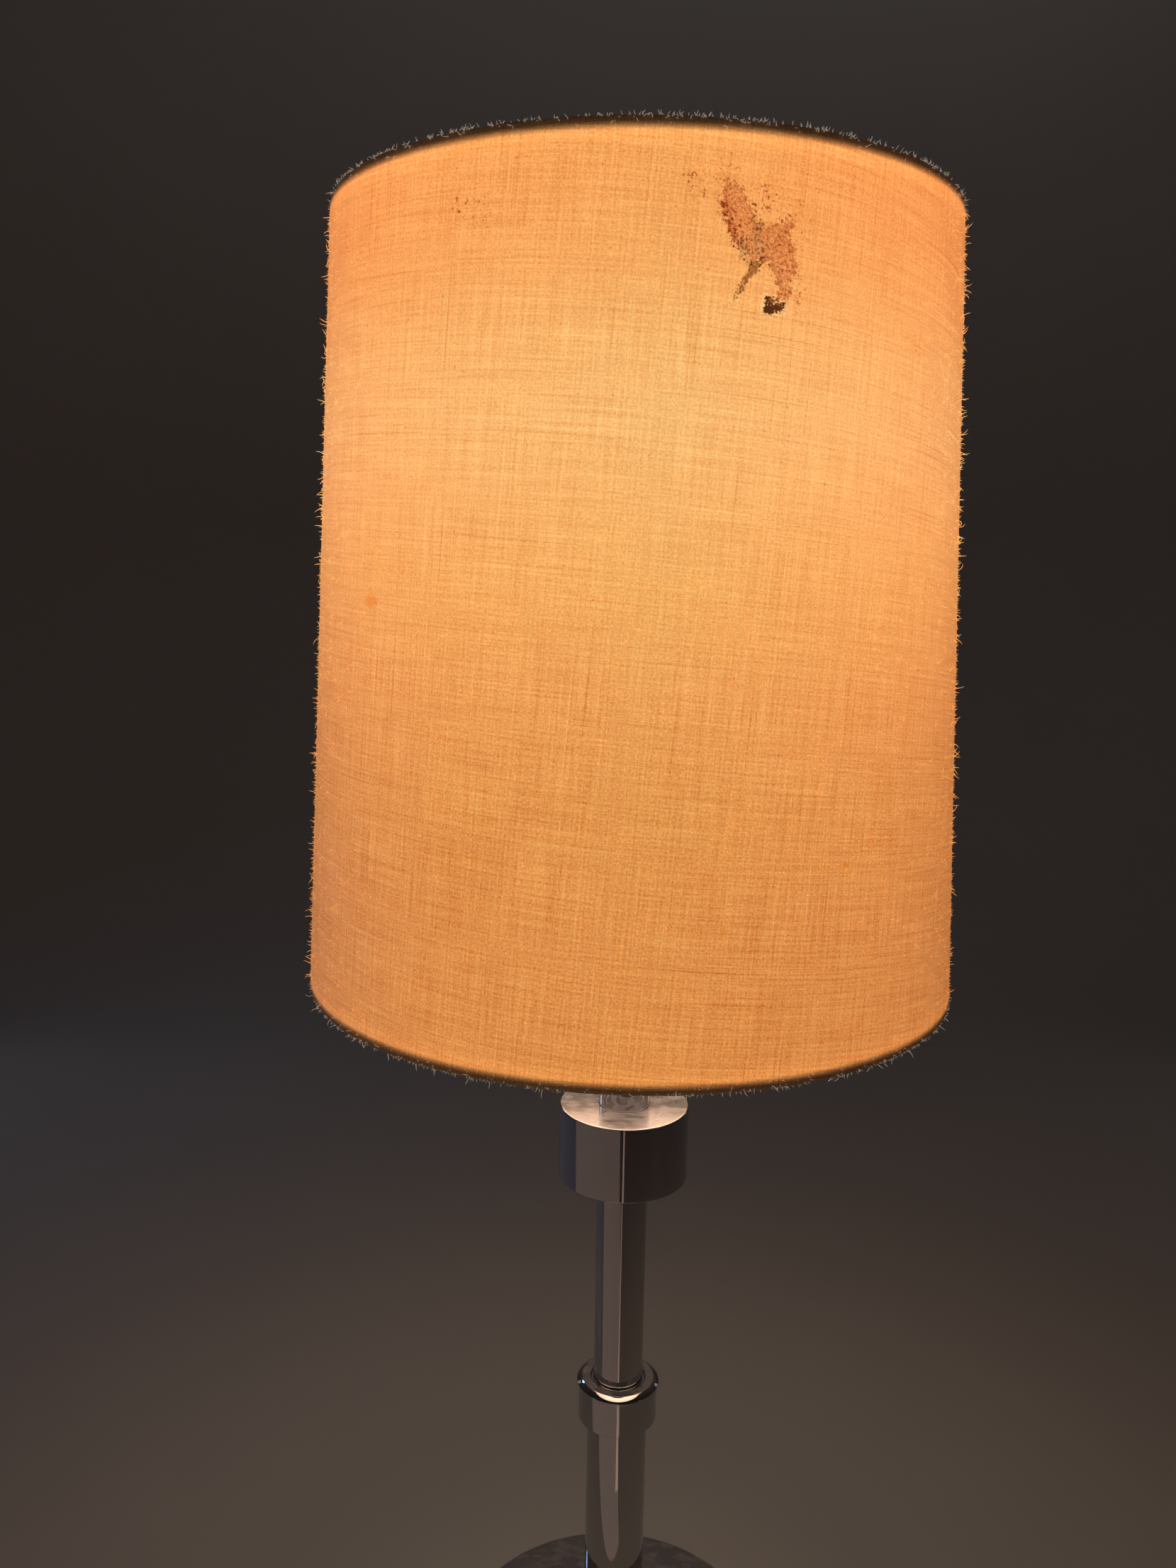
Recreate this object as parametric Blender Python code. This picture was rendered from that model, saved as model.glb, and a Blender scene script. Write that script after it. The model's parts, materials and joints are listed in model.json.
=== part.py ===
"""A table lamp: a chrome stem with two collars, a linen drum shade on a harp, and a screw-base bulb.

The lamp stands on the XY plane and its stem is the Z axis. +X is the lamp's right and -Y its front.
Lengths are in metres. Each piece is one object, and its outline is given in the piece's own heights.
"""

import math

import bmesh
import bpy
from mathutils import Matrix, Vector

# Clearances between neighbours
GAP = 0.0003  # between pieces that touch on the real lamp
LOOSE = 0.0006  # round the threaded pipe, where pieces slide over it
OVERCUT = 0.0020  # how far a drill or cutter runs past the face that it cuts

# Shade: a slightly tapered drum
SHADE_BOTTOM = 0.4000
SHADE_HEIGHT = 0.3495
SHADE_R_BOTTOM = 0.15257  # outside, level with the bottom ring
SHADE_R_TOP = 0.13833  # outside, level with the top ring
LINEN_THICK = 0.0005
LINING_THICK = 0.0004  # the stiff styrene sheet that backs the linen
SHADE_FLAP = 0.0022  # how far the rolled edge runs up past its ring, inside
RING_WIRE_R = 0.0012
FOLD_R = RING_WIRE_R + GAP + LINEN_THICK  # outside of the rolled edge
SPIDER_ARMS = 3
NOTCH_WIDTH = 0.0034

# Stem, from the table up
PIPE_R = 0.0050
PIPE_BORE_R = 0.0036
PIPE_BOTTOM = 0.0040
PIPE_HOLE_R = PIPE_R + LOOSE
FELT_R = 0.0850
FELT_THICK = 0.0020
BASE_R = 0.0870
BASE_WALL = 0.0012
BASE_RIM_HEIGHT = 0.0132
BASE_CORNER_R = 0.0040
BASE_RISE = 0.0020  # how far the top of the base climbs from its corner to the flange
BASE_SEAT_R = 0.0280
WEIGHT_R = 0.0830
WEIGHT_THICK = 0.0140
RECESS_R = 0.0150
RECESS_DEPTH = 0.0075
CHANNEL_WIDTH = 0.0106
CHANNEL_HEIGHT = 0.0120
BUSHING_Z = 0.0090
BUSHING_BORE_R = 0.0034
BUSHING_SHANK_R = 0.0045
BUSHING_SHANK = 0.0042
BUSHING_FLANGE_R = 0.0064
BUSHING_FLANGE = 0.0018
NUT_ACROSS_FLATS = 0.0140
NUT_THICK = 0.0032
LOCK_WASHER_R = 0.0092
LOCK_WASHER_THICK = 0.0008
FLANGE_R = 0.0260
FLANGE_NECK_R = 0.0190
FLANGE_HEIGHT = 0.0120
FLANGE_STEP = 0.0035  # height of the flange's rim, below its hollow curve
FLANGE_LEDGE = 0.0015  # flat part of the rim outside the curve
FLANGE_SEAT = 0.0030  # thickness left under the tube
TUBE_WALL = 0.0012
LOWER_TUBE_R = 0.0155
UPPER_TUBE_R = 0.0127
LOWER_COLLAR_BOTTOM = 0.1605
LOWER_COLLAR_HEIGHT = 0.0220
LOWER_COLLAR_R = 0.0203
LOWER_COLLAR_LIP_R = 0.0212
LOWER_COLLAR_LIP = 0.0032  # height of the rounded lip
LOWER_COLLAR_UNDER_SEAT = 0.0030
LOWER_COLLAR_TOP_SEAT = 0.0100
LOWER_COLLAR_TOP_CLEARANCE = 0.0008
UPPER_COLLAR_BOTTOM = 0.2947
UPPER_COLLAR_HEIGHT = 0.0378
UPPER_COLLAR_R = 0.0323
UPPER_COLLAR_WALL = 0.0015
UPPER_COLLAR_TOP = 0.0025
UPPER_COLLAR_EDGE_R = 0.0008
TUBE_SEAT = 0.0010  # shallow seats in the upper collar
COLLAR_PLATE_INSET = 0.0005
COLLAR_PLATE_THICK = 0.0030
SPACER_R = 0.0100
SPACER_WALL = 0.0015
NECK_TOP = 0.5050
NECK_CAP_R = 0.0140
NECK_CAP_THICK = 0.0032
NECK_CAP_SPIGOT = 0.0060
NECK_CAP_CHAMFER = 0.0010

# Harp: its saddle, its two sleeves, its wire loop and the swivelling stud on top
SADDLE_THICK = 0.0015
SADDLE_WIDTH = 0.0120
SADDLE_LEG_X = 0.02775  # middle of the upturned leg
SADDLE_BEND = 0.0040
SADDLE_SHOULDER_Z = 0.5268
SADDLE_TOP_Z = 0.5405
TONGUE_WIDTH = 0.0044
HARP_WIRE_R = 0.0018
HARP_LEG_X = SADDLE_LEG_X + SADDLE_THICK / 2 + GAP + HARP_WIRE_R
HARP_BOTTOM_Z = 0.5230
HARP_LEG_TOP_Z = 0.5660
HARP_HALF_WIDTH = 0.0575
HARP_WIDEST_Z = 0.6450
HARP_TOP_Z = 0.7330
HARP_LEG_HANDLE = 0.0120  # Bezier handles: the longer, the straighter the wire runs there
HARP_SIDE_HANDLE = 0.0300
HARP_TOP_HANDLE = 0.0420
HARP_BOSS_R = 0.0055
HARP_BOSS_HEIGHT = 0.0050
HARP_BOSS_HOLE_R = 0.0023
SLEEVE_X = 0.0297
SLEEVE_R = 0.0049
SLEEVE_WALL = 0.0008
SLEEVE_HEIGHT = 0.0140
STUD_RIVET_R = 0.0040
STUD_RIVET_THICK = 0.0020
STUD_SHANK_R = 0.0020
STUD_SHOULDER_R = 0.0070
STUD_SHOULDER_THICK = 0.0015
STUD_THREAD_R = 0.0031
STUD_THREAD = 0.0102
WASHER_R = 0.0110
WASHER_THICK = 0.0016
FINIAL_HEIGHT = 0.0360
FINIAL_HOLE_DEPTH = 0.0095
FINIAL_BALL_R = 0.0095
FINIAL_FOOT_R = 0.0070
FINIAL_FOOT = 0.0020
FINIAL_BODY_R = 0.0055
FINIAL_BODY_TOP = 0.0130
FINIAL_NECK_R = 0.0042
FINIAL_NECK_Z = 0.0155

# Socket
SOCKET_CAP_R = 0.0196
SOCKET_CAP_HEIGHT = 0.0225
SOCKET_HUB_R = 0.0082
SOCKET_HUB = 0.0030  # height of the flat foot, below the bowl
SOCKET_HUB_TOP = 0.0085
SHEET_THICK = 0.0008
SOCKET_SHELL_R = 0.0182
SOCKET_SHELL_WALL = 0.0005
SOCKET_SHELL_BEAD = 0.0006
SOCKET_SHELL_BOTTOM = 0.5281
SOCKET_SHELL_TOP = 0.5810
LINER_R = SOCKET_SHELL_R - SOCKET_SHELL_WALL - GAP
LINER_WALL = 0.0008
LINER_BOTTOM = 0.5290
LINER_TOP = 0.5795
INTERIOR_R = 0.0150
INTERIOR_HALF_WIDTH = 0.0125
INTERIOR_HEIGHT = 0.0200
SCREW_SHELL_R = 0.0145
SCREW_SHELL_WALL = 0.0006
SCREW_SHELL_FLOOR_R = 0.0080  # the floor's hole, round the centre contact
SCREW_SHELL_BOTTOM = LINER_BOTTOM + INTERIOR_HEIGHT + GAP
SCREW_SHELL_HEIGHT = 0.0282
TERMINAL_Z = 0.5345
TERMINAL_HEAD_R = 0.0030
TERMINAL_HEAD_THICK = 0.0016
TERMINAL_CHAMFER = 0.0005
TERMINAL_SHANK_R = 0.0015
TERMINAL_SHANK = 0.0040
KEY_Z = 0.5420
KEY_STEM_R = 0.0016
KEY_HOLE_R = 0.0028  # through the shell and its liner
KEY_HOLE_DEPTH = 0.0060
KEY_STEM_START = 0.0080  # distance from the stem's axis, towards the front
KEY_STEM_END = 0.0300
KEY_KNOB_START = 0.0215
KEY_KNOB_LENGTH = 0.0125
KEY_KNOB_R = 0.0062
KEY_BEVEL = 0.0012
KEY_FLUTES = 8
KEY_FLUTE_DEPTH = 0.86  # radius at the bottom of a flute, as a share

CONTACT_TONGUE_WIDTH = 0.0050
TONGUE_THICK = 0.0004
TONGUE_RISE = 0.0014

# Bulb
BULB_CONTACT_Z = 0.5516
BULB_CONTACT_R = 0.0045
BULB_CONTACT_THICK = 0.0012
BULB_INSULATOR_HEIGHT = 0.0034
BULB_SHELL_R = 0.0130
BULB_SHELL_WALL = 0.0006
BULB_SHELL_TOP = 0.5790
BULB_GLASS_R = 0.0300
BULB_GLASS_WALL = 0.0008
BULB_CENTRE_Z = 0.6335
BULB_NECK_R = 0.0132
BULB_STEM_R = 0.0030
BULB_STEM_FOOT_R = 0.0110
BULB_STEM_TOP = 0.6120
FILAMENT_R = 0.0004
FILAMENT_HALF_WIDTH = 0.0110
FILAMENT_Z = 0.6300

# How finely round pieces are divided
SHADE_STEPS = 48
BASE_STEPS = 40
COLLAR_STEPS = 32
FINE_STEPS = 24
FINIAL_STEPS = 20
SMALL_STEPS = 16
SCREW_STEPS = 12
SHARP_ANGLE = math.radians(35)

# Heights that follow from the stack
WEIGHT_BOTTOM = FELT_THICK + GAP
BASE_TOP = WEIGHT_BOTTOM + BASE_RIM_HEIGHT + BASE_CORNER_R + BASE_RISE
FLANGE_BOTTOM = BASE_TOP + GAP
LOWER_COLLAR_TOP = LOWER_COLLAR_BOTTOM + LOWER_COLLAR_HEIGHT
UPPER_COLLAR_TOP_Z = UPPER_COLLAR_BOTTOM + UPPER_COLLAR_HEIGHT
COLLAR_PLATE_BOTTOM = UPPER_COLLAR_BOTTOM + COLLAR_PLATE_INSET
COLLAR_PLATE_TOP = COLLAR_PLATE_BOTTOM + COLLAR_PLATE_THICK
SADDLE_BOTTOM = NECK_TOP + GAP + NECK_CAP_THICK + GAP
SOCKET_BOTTOM = SADDLE_BOTTOM + SADDLE_THICK + GAP
PIPE_TOP = SOCKET_BOTTOM + 0.0080
STUD_SHOULDER_Z = HARP_TOP_Z + HARP_BOSS_HEIGHT / 2 + GAP
WASHER_Z = STUD_SHOULDER_Z + STUD_SHOULDER_THICK + GAP
FINIAL_Z = WASHER_Z + WASHER_THICK + GAP
BOTTOM_RING = (SHADE_R_BOTTOM - FOLD_R, SHADE_BOTTOM + FOLD_R)
TOP_RING = (SHADE_R_TOP - FOLD_R, SHADE_BOTTOM + SHADE_HEIGHT - FOLD_R)

# Material: colour, metallic, roughness
FINISHES = {
    "chrome": ((0.62, 0.62, 0.64), 1.0, 0.06),
    "zinc": ((0.55, 0.55, 0.53), 1.0, 0.35),
    "brass": ((0.72, 0.52, 0.26), 1.0, 0.28),
    "cast_iron": ((0.12, 0.12, 0.12), 0.6, 0.7),
    "felt": ((0.03, 0.05, 0.04), 0.0, 0.95),
    "black_plastic": ((0.02, 0.02, 0.02), 0.0, 0.4),
    "card": ((0.36, 0.25, 0.15), 0.0, 0.9),
    "glass": ((0.95, 0.93, 0.88), 0.0, 0.2),
    "tungsten": ((0.40, 0.38, 0.36), 1.0, 0.4),
    "linen": ((0.80, 0.48, 0.25), 0.0, 0.9),
    "styrene": ((0.90, 0.86, 0.78), 0.0, 0.35),
}


def clear_scene():
    """Start from an empty scene."""
    for old in list(bpy.data.objects):
        bpy.data.objects.remove(old)


def give_material(piece, finish):
    """Give a piece its own Principled material in one of the finishes."""
    colour, metallic, roughness = FINISHES[finish]
    material = bpy.data.materials.new(piece.name + "_" + finish)
    material.use_nodes = True
    shader = material.node_tree.nodes["Principled BSDF"]
    shader.inputs["Base Color"].default_value = (*colour, 1)
    shader.inputs["Metallic"].default_value = metallic
    shader.inputs["Roughness"].default_value = roughness
    piece.data.materials.append(material)


def new_piece(name, bm, finish, place=(0, 0, 0)):
    """Make an object from a bmesh, with faces out and smooth shading between sharp edges."""
    bmesh.ops.recalc_face_normals(bm, faces=bm.faces)
    mesh = bpy.data.meshes.new(name)
    bm.to_mesh(mesh)
    bm.free()
    mesh.shade_smooth()
    mesh.set_sharp_from_angle(angle=SHARP_ANGLE)
    piece = bpy.data.objects.new(name, mesh)
    piece.location = place
    bpy.context.scene.collection.objects.link(piece)
    give_material(piece, finish)
    return piece


def turned(name, outline, finish, z=0.0, steps=FINE_STEPS):
    """Turn an outline of (radius, height) points about Z, into a solid or a closed ring."""
    bm = bmesh.new()
    points = [bm.verts.new((radius, 0, height)) for radius, height in outline]
    lines = [bm.edges.new(pair) for pair in zip(points, points[1:])]
    if outline[0][0] > 0:
        lines.append(bm.edges.new((points[-1], points[0])))
    bmesh.ops.spin(
        bm, geom=points + lines, cent=(0, 0, 0), axis=(0, 0, 1), angle=math.tau, steps=steps, use_merge=True
    )
    bmesh.ops.remove_doubles(bm, verts=bm.verts, dist=1e-6)
    return new_piece(name, bm, finish, (0, 0, z))


def tube(name, outer_r, inner_r, bottom, top, finish, steps=FINE_STEPS):
    """A plain round tube."""
    height = top - bottom
    outline = [(outer_r, 0), (outer_r, height), (inner_r, height), (inner_r, 0)]
    return turned(name, outline, finish, bottom, steps)


def arc(centre, radius, start, end, steps):
    """Points of an arc in the outline's plane, with angles in degrees from the radial direction."""
    angles = [math.radians(start + (end - start) * i / steps) for i in range(steps + 1)]
    return [(centre[0] + radius * math.cos(a), centre[1] + radius * math.sin(a)) for a in angles]


def block(name, low, high, finish):
    """A box between two corners."""
    bm = bmesh.new()
    bmesh.ops.create_cube(bm, size=1.0)
    low, high = Vector(low), Vector(high)
    bmesh.ops.scale(bm, vec=high - low, verts=bm.verts)
    return new_piece(name, bm, finish, (low + high) / 2)


def strip(name, path, widths, thickness, finish):
    """A flat metal strip that follows a path of (x, z) points, with its own width in Y at each point."""
    bm = bmesh.new()
    path = [Vector((x, 0, z)) for x, z in path]
    rings = []
    for i, (point, width) in enumerate(zip(path, widths)):
        before = (point - path[i - 1]).normalized() if i > 0 else None
        after = (path[i + 1] - point).normalized() if i + 1 < len(path) else None
        along = ((before or after) + (after or before)).normalized()
        normal = Vector((-along.z, 0, along.x))
        square = (before or after).dot(along)
        half = normal * thickness / 2 / max(square, 0.5)
        side = Vector((0, width / 2, 0))
        corners = [point + half - side, point + half + side, point - half + side, point - half - side]
        rings.append([bm.verts.new(corner) for corner in corners])
    for one, two in zip(rings, rings[1:]):
        for k in range(4):
            bm.faces.new((one[k], one[(k + 1) % 4], two[(k + 1) % 4], two[k]))
    bm.faces.new(rings[0])
    bm.faces.new(rings[-1])
    return new_piece(name, bm, finish)


def wire(name, knots, radius, finish, steps, sides=2):
    """A round wire along a Bezier curve. A knot is (point, handle), and the handle leads onwards."""
    curve = bpy.data.curves.new(name + "_path", "CURVE")
    curve.dimensions = "3D"
    curve.bevel_depth = radius
    curve.bevel_resolution = sides
    curve.use_fill_caps = True
    spline = curve.splines.new("BEZIER")
    spline.resolution_u = steps
    spline.bezier_points.add(len(knots) - 1)
    for knot, (point, handle) in zip(spline.bezier_points, knots):
        knot.co = point
        knot.handle_left = Vector(point) - Vector(handle)
        knot.handle_right = Vector(point) + Vector(handle)
    path = bpy.data.objects.new(name + "_path", curve)
    bpy.context.scene.collection.objects.link(path)
    bm = bmesh.new()
    bm.from_mesh(path.to_mesh())
    path.to_mesh_clear()
    bpy.data.objects.remove(path)
    bmesh.ops.remove_doubles(bm, verts=bm.verts, dist=1e-6)
    return new_piece(name, bm, finish)


def combine(target, other, operation):
    """Join or cut a piece with another object, which is then only a guide."""
    modifier = target.modifiers.new(other.name, "BOOLEAN")
    modifier.operation = operation
    modifier.object = other
    modifier.solver = "EXACT"
    other.hide_render = True
    other.display_type = "WIRE"


def drill(target, radius, start, direction, depth):
    """Cut a round hole that begins at a point and runs along a direction."""
    bm = bmesh.new()
    bmesh.ops.create_cone(
        bm, cap_ends=True, segments=SMALL_STEPS, radius1=radius, radius2=radius, depth=depth
    )
    cutter = new_piece(target.name + "_drill", bm, "zinc")
    cutter.location = Vector(start) + Vector(direction).normalized() * depth / 2
    cutter.rotation_euler = Vector(direction).to_track_quat("Z", "Y").to_euler()
    combine(target, cutter, "DIFFERENCE")


def point_sideways(piece, place, direction):
    """Stand a turned piece on a point, with its own axis along a direction."""
    piece.location = place
    piece.rotation_euler = Vector(direction).to_track_quat("Z", "Y").to_euler()


# Base


def build_base_felt():
    outline = [(0, 0), (FELT_R, 0), (FELT_R, FELT_THICK), (0, FELT_THICK)]
    turned("base_felt", outline, "felt", steps=BASE_STEPS)


def build_base_weight():
    outline = [
        (PIPE_HOLE_R, RECESS_DEPTH),
        (RECESS_R, RECESS_DEPTH),
        (RECESS_R, 0),
        (WEIGHT_R, 0),
        (WEIGHT_R, WEIGHT_THICK),
        (PIPE_HOLE_R, WEIGHT_THICK),
    ]
    weight = turned("base_weight", outline, "cast_iron", WEIGHT_BOTTOM, BASE_STEPS)
    half = CHANNEL_WIDTH / 2
    low = (-half, RECESS_R / 2, WEIGHT_BOTTOM - OVERCUT)
    high = (half, WEIGHT_R + OVERCUT, WEIGHT_BOTTOM + CHANNEL_HEIGHT)
    combine(weight, block("cord_channel", low, high, "zinc"), "DIFFERENCE")


def build_base_cover():
    corner = (BASE_R - BASE_CORNER_R, BASE_RIM_HEIGHT)
    seat_z = BASE_RIM_HEIGHT + BASE_CORNER_R + BASE_RISE
    outline = [(BASE_R, 0)]
    outline += arc(corner, BASE_CORNER_R, 0, 90, 4)
    outline += [(BASE_SEAT_R, seat_z), (PIPE_HOLE_R, seat_z)]
    outline += [(PIPE_HOLE_R, seat_z - BASE_WALL), (BASE_SEAT_R, seat_z - BASE_WALL)]
    outline += arc(corner, BASE_CORNER_R - BASE_WALL, 90, 0, 4)
    outline += [(BASE_R - BASE_WALL, 0)]
    cover = turned("base_cover", outline, "chrome", WEIGHT_BOTTOM, BASE_STEPS)
    start_y = BASE_R - BASE_WALL - OVERCUT
    drill(cover, BUSHING_SHANK_R + GAP, (0, start_y, BUSHING_Z), (0, 1, 0), BASE_WALL + 2 * OVERCUT)


def build_cord_bushing():
    face = BUSHING_SHANK + BUSHING_FLANGE
    outline = [
        (BUSHING_BORE_R, 0),
        (BUSHING_SHANK_R, 0),
        (BUSHING_SHANK_R, BUSHING_SHANK),
        (BUSHING_FLANGE_R, BUSHING_SHANK),
        (BUSHING_FLANGE_R - BUSHING_FLANGE / 2, face),
        (BUSHING_BORE_R, face),
    ]
    bushing = turned("cord_bushing", outline, "black_plastic", steps=SMALL_STEPS)
    point_sideways(bushing, (0, BASE_R + GAP - BUSHING_SHANK, BUSHING_Z), (0, 1, 0))


def build_base_fasteners():
    washer_z = WEIGHT_BOTTOM + RECESS_DEPTH - GAP - LOCK_WASHER_THICK
    tube("base_lock_washer", LOCK_WASHER_R, PIPE_R + GAP, washer_z, washer_z + LOCK_WASHER_THICK, "zinc")
    corner_r = NUT_ACROSS_FLATS / 2 / math.cos(math.pi / 6)
    nut_z = washer_z - GAP - NUT_THICK
    outline = [(0, 0), (corner_r, 0), (corner_r, NUT_THICK), (0, NUT_THICK)]
    nut = turned("base_nut", outline, "zinc", nut_z, steps=6)
    drill(nut, PIPE_R + GAP, (0, 0, nut_z - OVERCUT), (0, 0, 1), NUT_THICK + 2 * OVERCUT)


def build_base_flange():
    curve_r = FLANGE_R - FLANGE_NECK_R - FLANGE_LEDGE
    outline = [(PIPE_HOLE_R, 0), (FLANGE_R, 0), (FLANGE_R, FLANGE_STEP)]
    outline += arc((FLANGE_NECK_R + curve_r, FLANGE_STEP + curve_r), curve_r, 270, 180, 4)
    outline += [
        (FLANGE_NECK_R, FLANGE_HEIGHT),
        (LOWER_TUBE_R + GAP, FLANGE_HEIGHT),
        (LOWER_TUBE_R + GAP, FLANGE_SEAT),
        (PIPE_HOLE_R, FLANGE_SEAT),
    ]
    turned("base_flange", outline, "chrome", FLANGE_BOTTOM, COLLAR_STEPS)


# Stem


def build_tubes():
    lower_bottom = FLANGE_BOTTOM + FLANGE_SEAT + GAP
    lower_top = LOWER_COLLAR_BOTTOM + LOWER_COLLAR_UNDER_SEAT - GAP
    tube("lower_tube", LOWER_TUBE_R, LOWER_TUBE_R - TUBE_WALL, lower_bottom, lower_top, "chrome")
    upper_bottom = LOWER_COLLAR_TOP - LOWER_COLLAR_TOP_SEAT + GAP
    upper_top = COLLAR_PLATE_BOTTOM + TUBE_SEAT - GAP
    tube("upper_tube", UPPER_TUBE_R, UPPER_TUBE_R - TUBE_WALL, upper_bottom, upper_top, "chrome")
    neck_bottom = UPPER_COLLAR_TOP_Z - TUBE_SEAT + GAP
    tube("neck_tube", UPPER_TUBE_R, UPPER_TUBE_R - TUBE_WALL, neck_bottom, NECK_TOP, "chrome")
    tube("threaded_pipe", PIPE_R, PIPE_BORE_R, PIPE_BOTTOM, PIPE_TOP, "zinc", SMALL_STEPS)


def build_lower_collar():
    lip_r = LOWER_COLLAR_LIP / 2
    lip_centre = (LOWER_COLLAR_LIP_R - lip_r, LOWER_COLLAR_HEIGHT - lip_r)
    seat_r = UPPER_TUBE_R + LOWER_COLLAR_TOP_CLEARANCE
    outline = [
        (PIPE_HOLE_R, LOWER_COLLAR_UNDER_SEAT),
        (LOWER_TUBE_R + GAP, LOWER_COLLAR_UNDER_SEAT),
        (LOWER_TUBE_R + GAP, 0),
        (LOWER_COLLAR_R, 0),
        (LOWER_COLLAR_R, LOWER_COLLAR_HEIGHT - LOWER_COLLAR_LIP),
    ]
    outline += arc(lip_centre, lip_r, -60, 90, 5)
    outline += [
        (seat_r, LOWER_COLLAR_HEIGHT),
        (seat_r, LOWER_COLLAR_HEIGHT - LOWER_COLLAR_TOP_SEAT),
        (PIPE_HOLE_R, LOWER_COLLAR_HEIGHT - LOWER_COLLAR_TOP_SEAT),
    ]
    turned("lower_collar", outline, "chrome", LOWER_COLLAR_BOTTOM, COLLAR_STEPS)


def build_upper_collar():
    top = UPPER_COLLAR_HEIGHT
    edge = (UPPER_COLLAR_R - UPPER_COLLAR_EDGE_R, top - UPPER_COLLAR_EDGE_R)
    outline = [(UPPER_COLLAR_R, 0)]
    outline += arc(edge, UPPER_COLLAR_EDGE_R, 0, 90, 3)
    outline += [
        (UPPER_TUBE_R + GAP, top),
        (UPPER_TUBE_R + GAP, top - TUBE_SEAT),
        (PIPE_HOLE_R, top - TUBE_SEAT),
        (PIPE_HOLE_R, top - UPPER_COLLAR_TOP),
        (UPPER_COLLAR_R - UPPER_COLLAR_WALL, top - UPPER_COLLAR_TOP),
        (UPPER_COLLAR_R - UPPER_COLLAR_WALL, 0),
    ]
    turned("upper_collar", outline, "chrome", UPPER_COLLAR_BOTTOM, COLLAR_STEPS)

    plate_r = UPPER_COLLAR_R - UPPER_COLLAR_WALL - GAP
    outline = [
        (PIPE_HOLE_R, TUBE_SEAT),
        (UPPER_TUBE_R + GAP, TUBE_SEAT),
        (UPPER_TUBE_R + GAP, 0),
        (plate_r, 0),
        (plate_r, COLLAR_PLATE_THICK),
        (PIPE_HOLE_R, COLLAR_PLATE_THICK),
    ]
    turned("upper_collar_plate", outline, "chrome", COLLAR_PLATE_BOTTOM, COLLAR_STEPS)

    low = COLLAR_PLATE_TOP + GAP
    high = UPPER_COLLAR_TOP_Z - UPPER_COLLAR_TOP - GAP
    tube("upper_collar_spacer", SPACER_R, SPACER_R - SPACER_WALL, low, high, "zinc")


def build_neck_cap():
    spigot_r = UPPER_TUBE_R - TUBE_WALL - GAP
    outline = [
        (PIPE_HOLE_R, -NECK_CAP_SPIGOT),
        (spigot_r, -NECK_CAP_SPIGOT),
        (spigot_r, 0),
        (NECK_CAP_R, 0),
        (NECK_CAP_R, NECK_CAP_THICK - NECK_CAP_CHAMFER),
        (NECK_CAP_R - NECK_CAP_CHAMFER, NECK_CAP_THICK),
        (PIPE_HOLE_R, NECK_CAP_THICK),
    ]
    turned("neck_cap", outline, "chrome", NECK_TOP + GAP)


# Harp


def build_harp_saddle():
    plate_z = SADDLE_BOTTOM + SADDLE_THICK / 2
    bend = arc((SADDLE_LEG_X - SADDLE_BEND, plate_z + SADDLE_BEND), SADDLE_BEND, 270, 360, 4)
    shoulder = SADDLE_SHOULDER_Z
    right = bend + [(SADDLE_LEG_X, shoulder), (SADDLE_LEG_X, shoulder + GAP), (SADDLE_LEG_X, SADDLE_TOP_Z)]
    widths = [SADDLE_WIDTH] * (len(bend) + 1) + [TONGUE_WIDTH] * 2
    left = [(-x, z) for x, z in reversed(right)]
    saddle = strip("harp_saddle", left + right, widths[::-1] + widths, SADDLE_THICK, "brass")
    drill(saddle, PIPE_R + GAP, (0, 0, SADDLE_BOTTOM - OVERCUT), (0, 0, 1), SADDLE_THICK + 2 * OVERCUT)


def build_harp():
    right = [
        ((HARP_LEG_X, 0, HARP_BOTTOM_Z), (0, 0, -HARP_LEG_HANDLE)),
        ((HARP_LEG_X, 0, HARP_LEG_TOP_Z), (0, 0, -HARP_SIDE_HANDLE)),
        ((HARP_HALF_WIDTH, 0, HARP_WIDEST_Z), (0, 0, -HARP_SIDE_HANDLE)),
    ]
    left = [((-x, 0, z), (0, 0, -rise)) for (x, _, z), (_, _, rise) in right]
    top = [((0, 0, HARP_TOP_Z), (HARP_TOP_HANDLE, 0, 0))]
    harp = wire("harp", left + top + right[::-1], HARP_WIRE_R, "brass", steps=8)
    boss_bottom = HARP_TOP_Z - HARP_BOSS_HEIGHT / 2
    boss = [(0, 0), (HARP_BOSS_R, 0), (HARP_BOSS_R, HARP_BOSS_HEIGHT), (0, HARP_BOSS_HEIGHT)]
    combine(harp, turned("harp_boss", boss, "brass", boss_bottom, SMALL_STEPS), "UNION")
    depth = HARP_BOSS_HEIGHT + 2 * OVERCUT
    drill(harp, HARP_BOSS_HOLE_R, (0, 0, boss_bottom - OVERCUT), (0, 0, 1), depth)


def build_harp_sleeves():
    inner_r = SLEEVE_R - SLEEVE_WALL
    for name, side in (("harp_sleeve_left", -1), ("harp_sleeve_right", 1)):
        sleeve = tube(name, SLEEVE_R, inner_r, 0, SLEEVE_HEIGHT, "brass", SMALL_STEPS)
        sleeve.location = (side * SLEEVE_X, 0, SADDLE_SHOULDER_Z + GAP)


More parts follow.
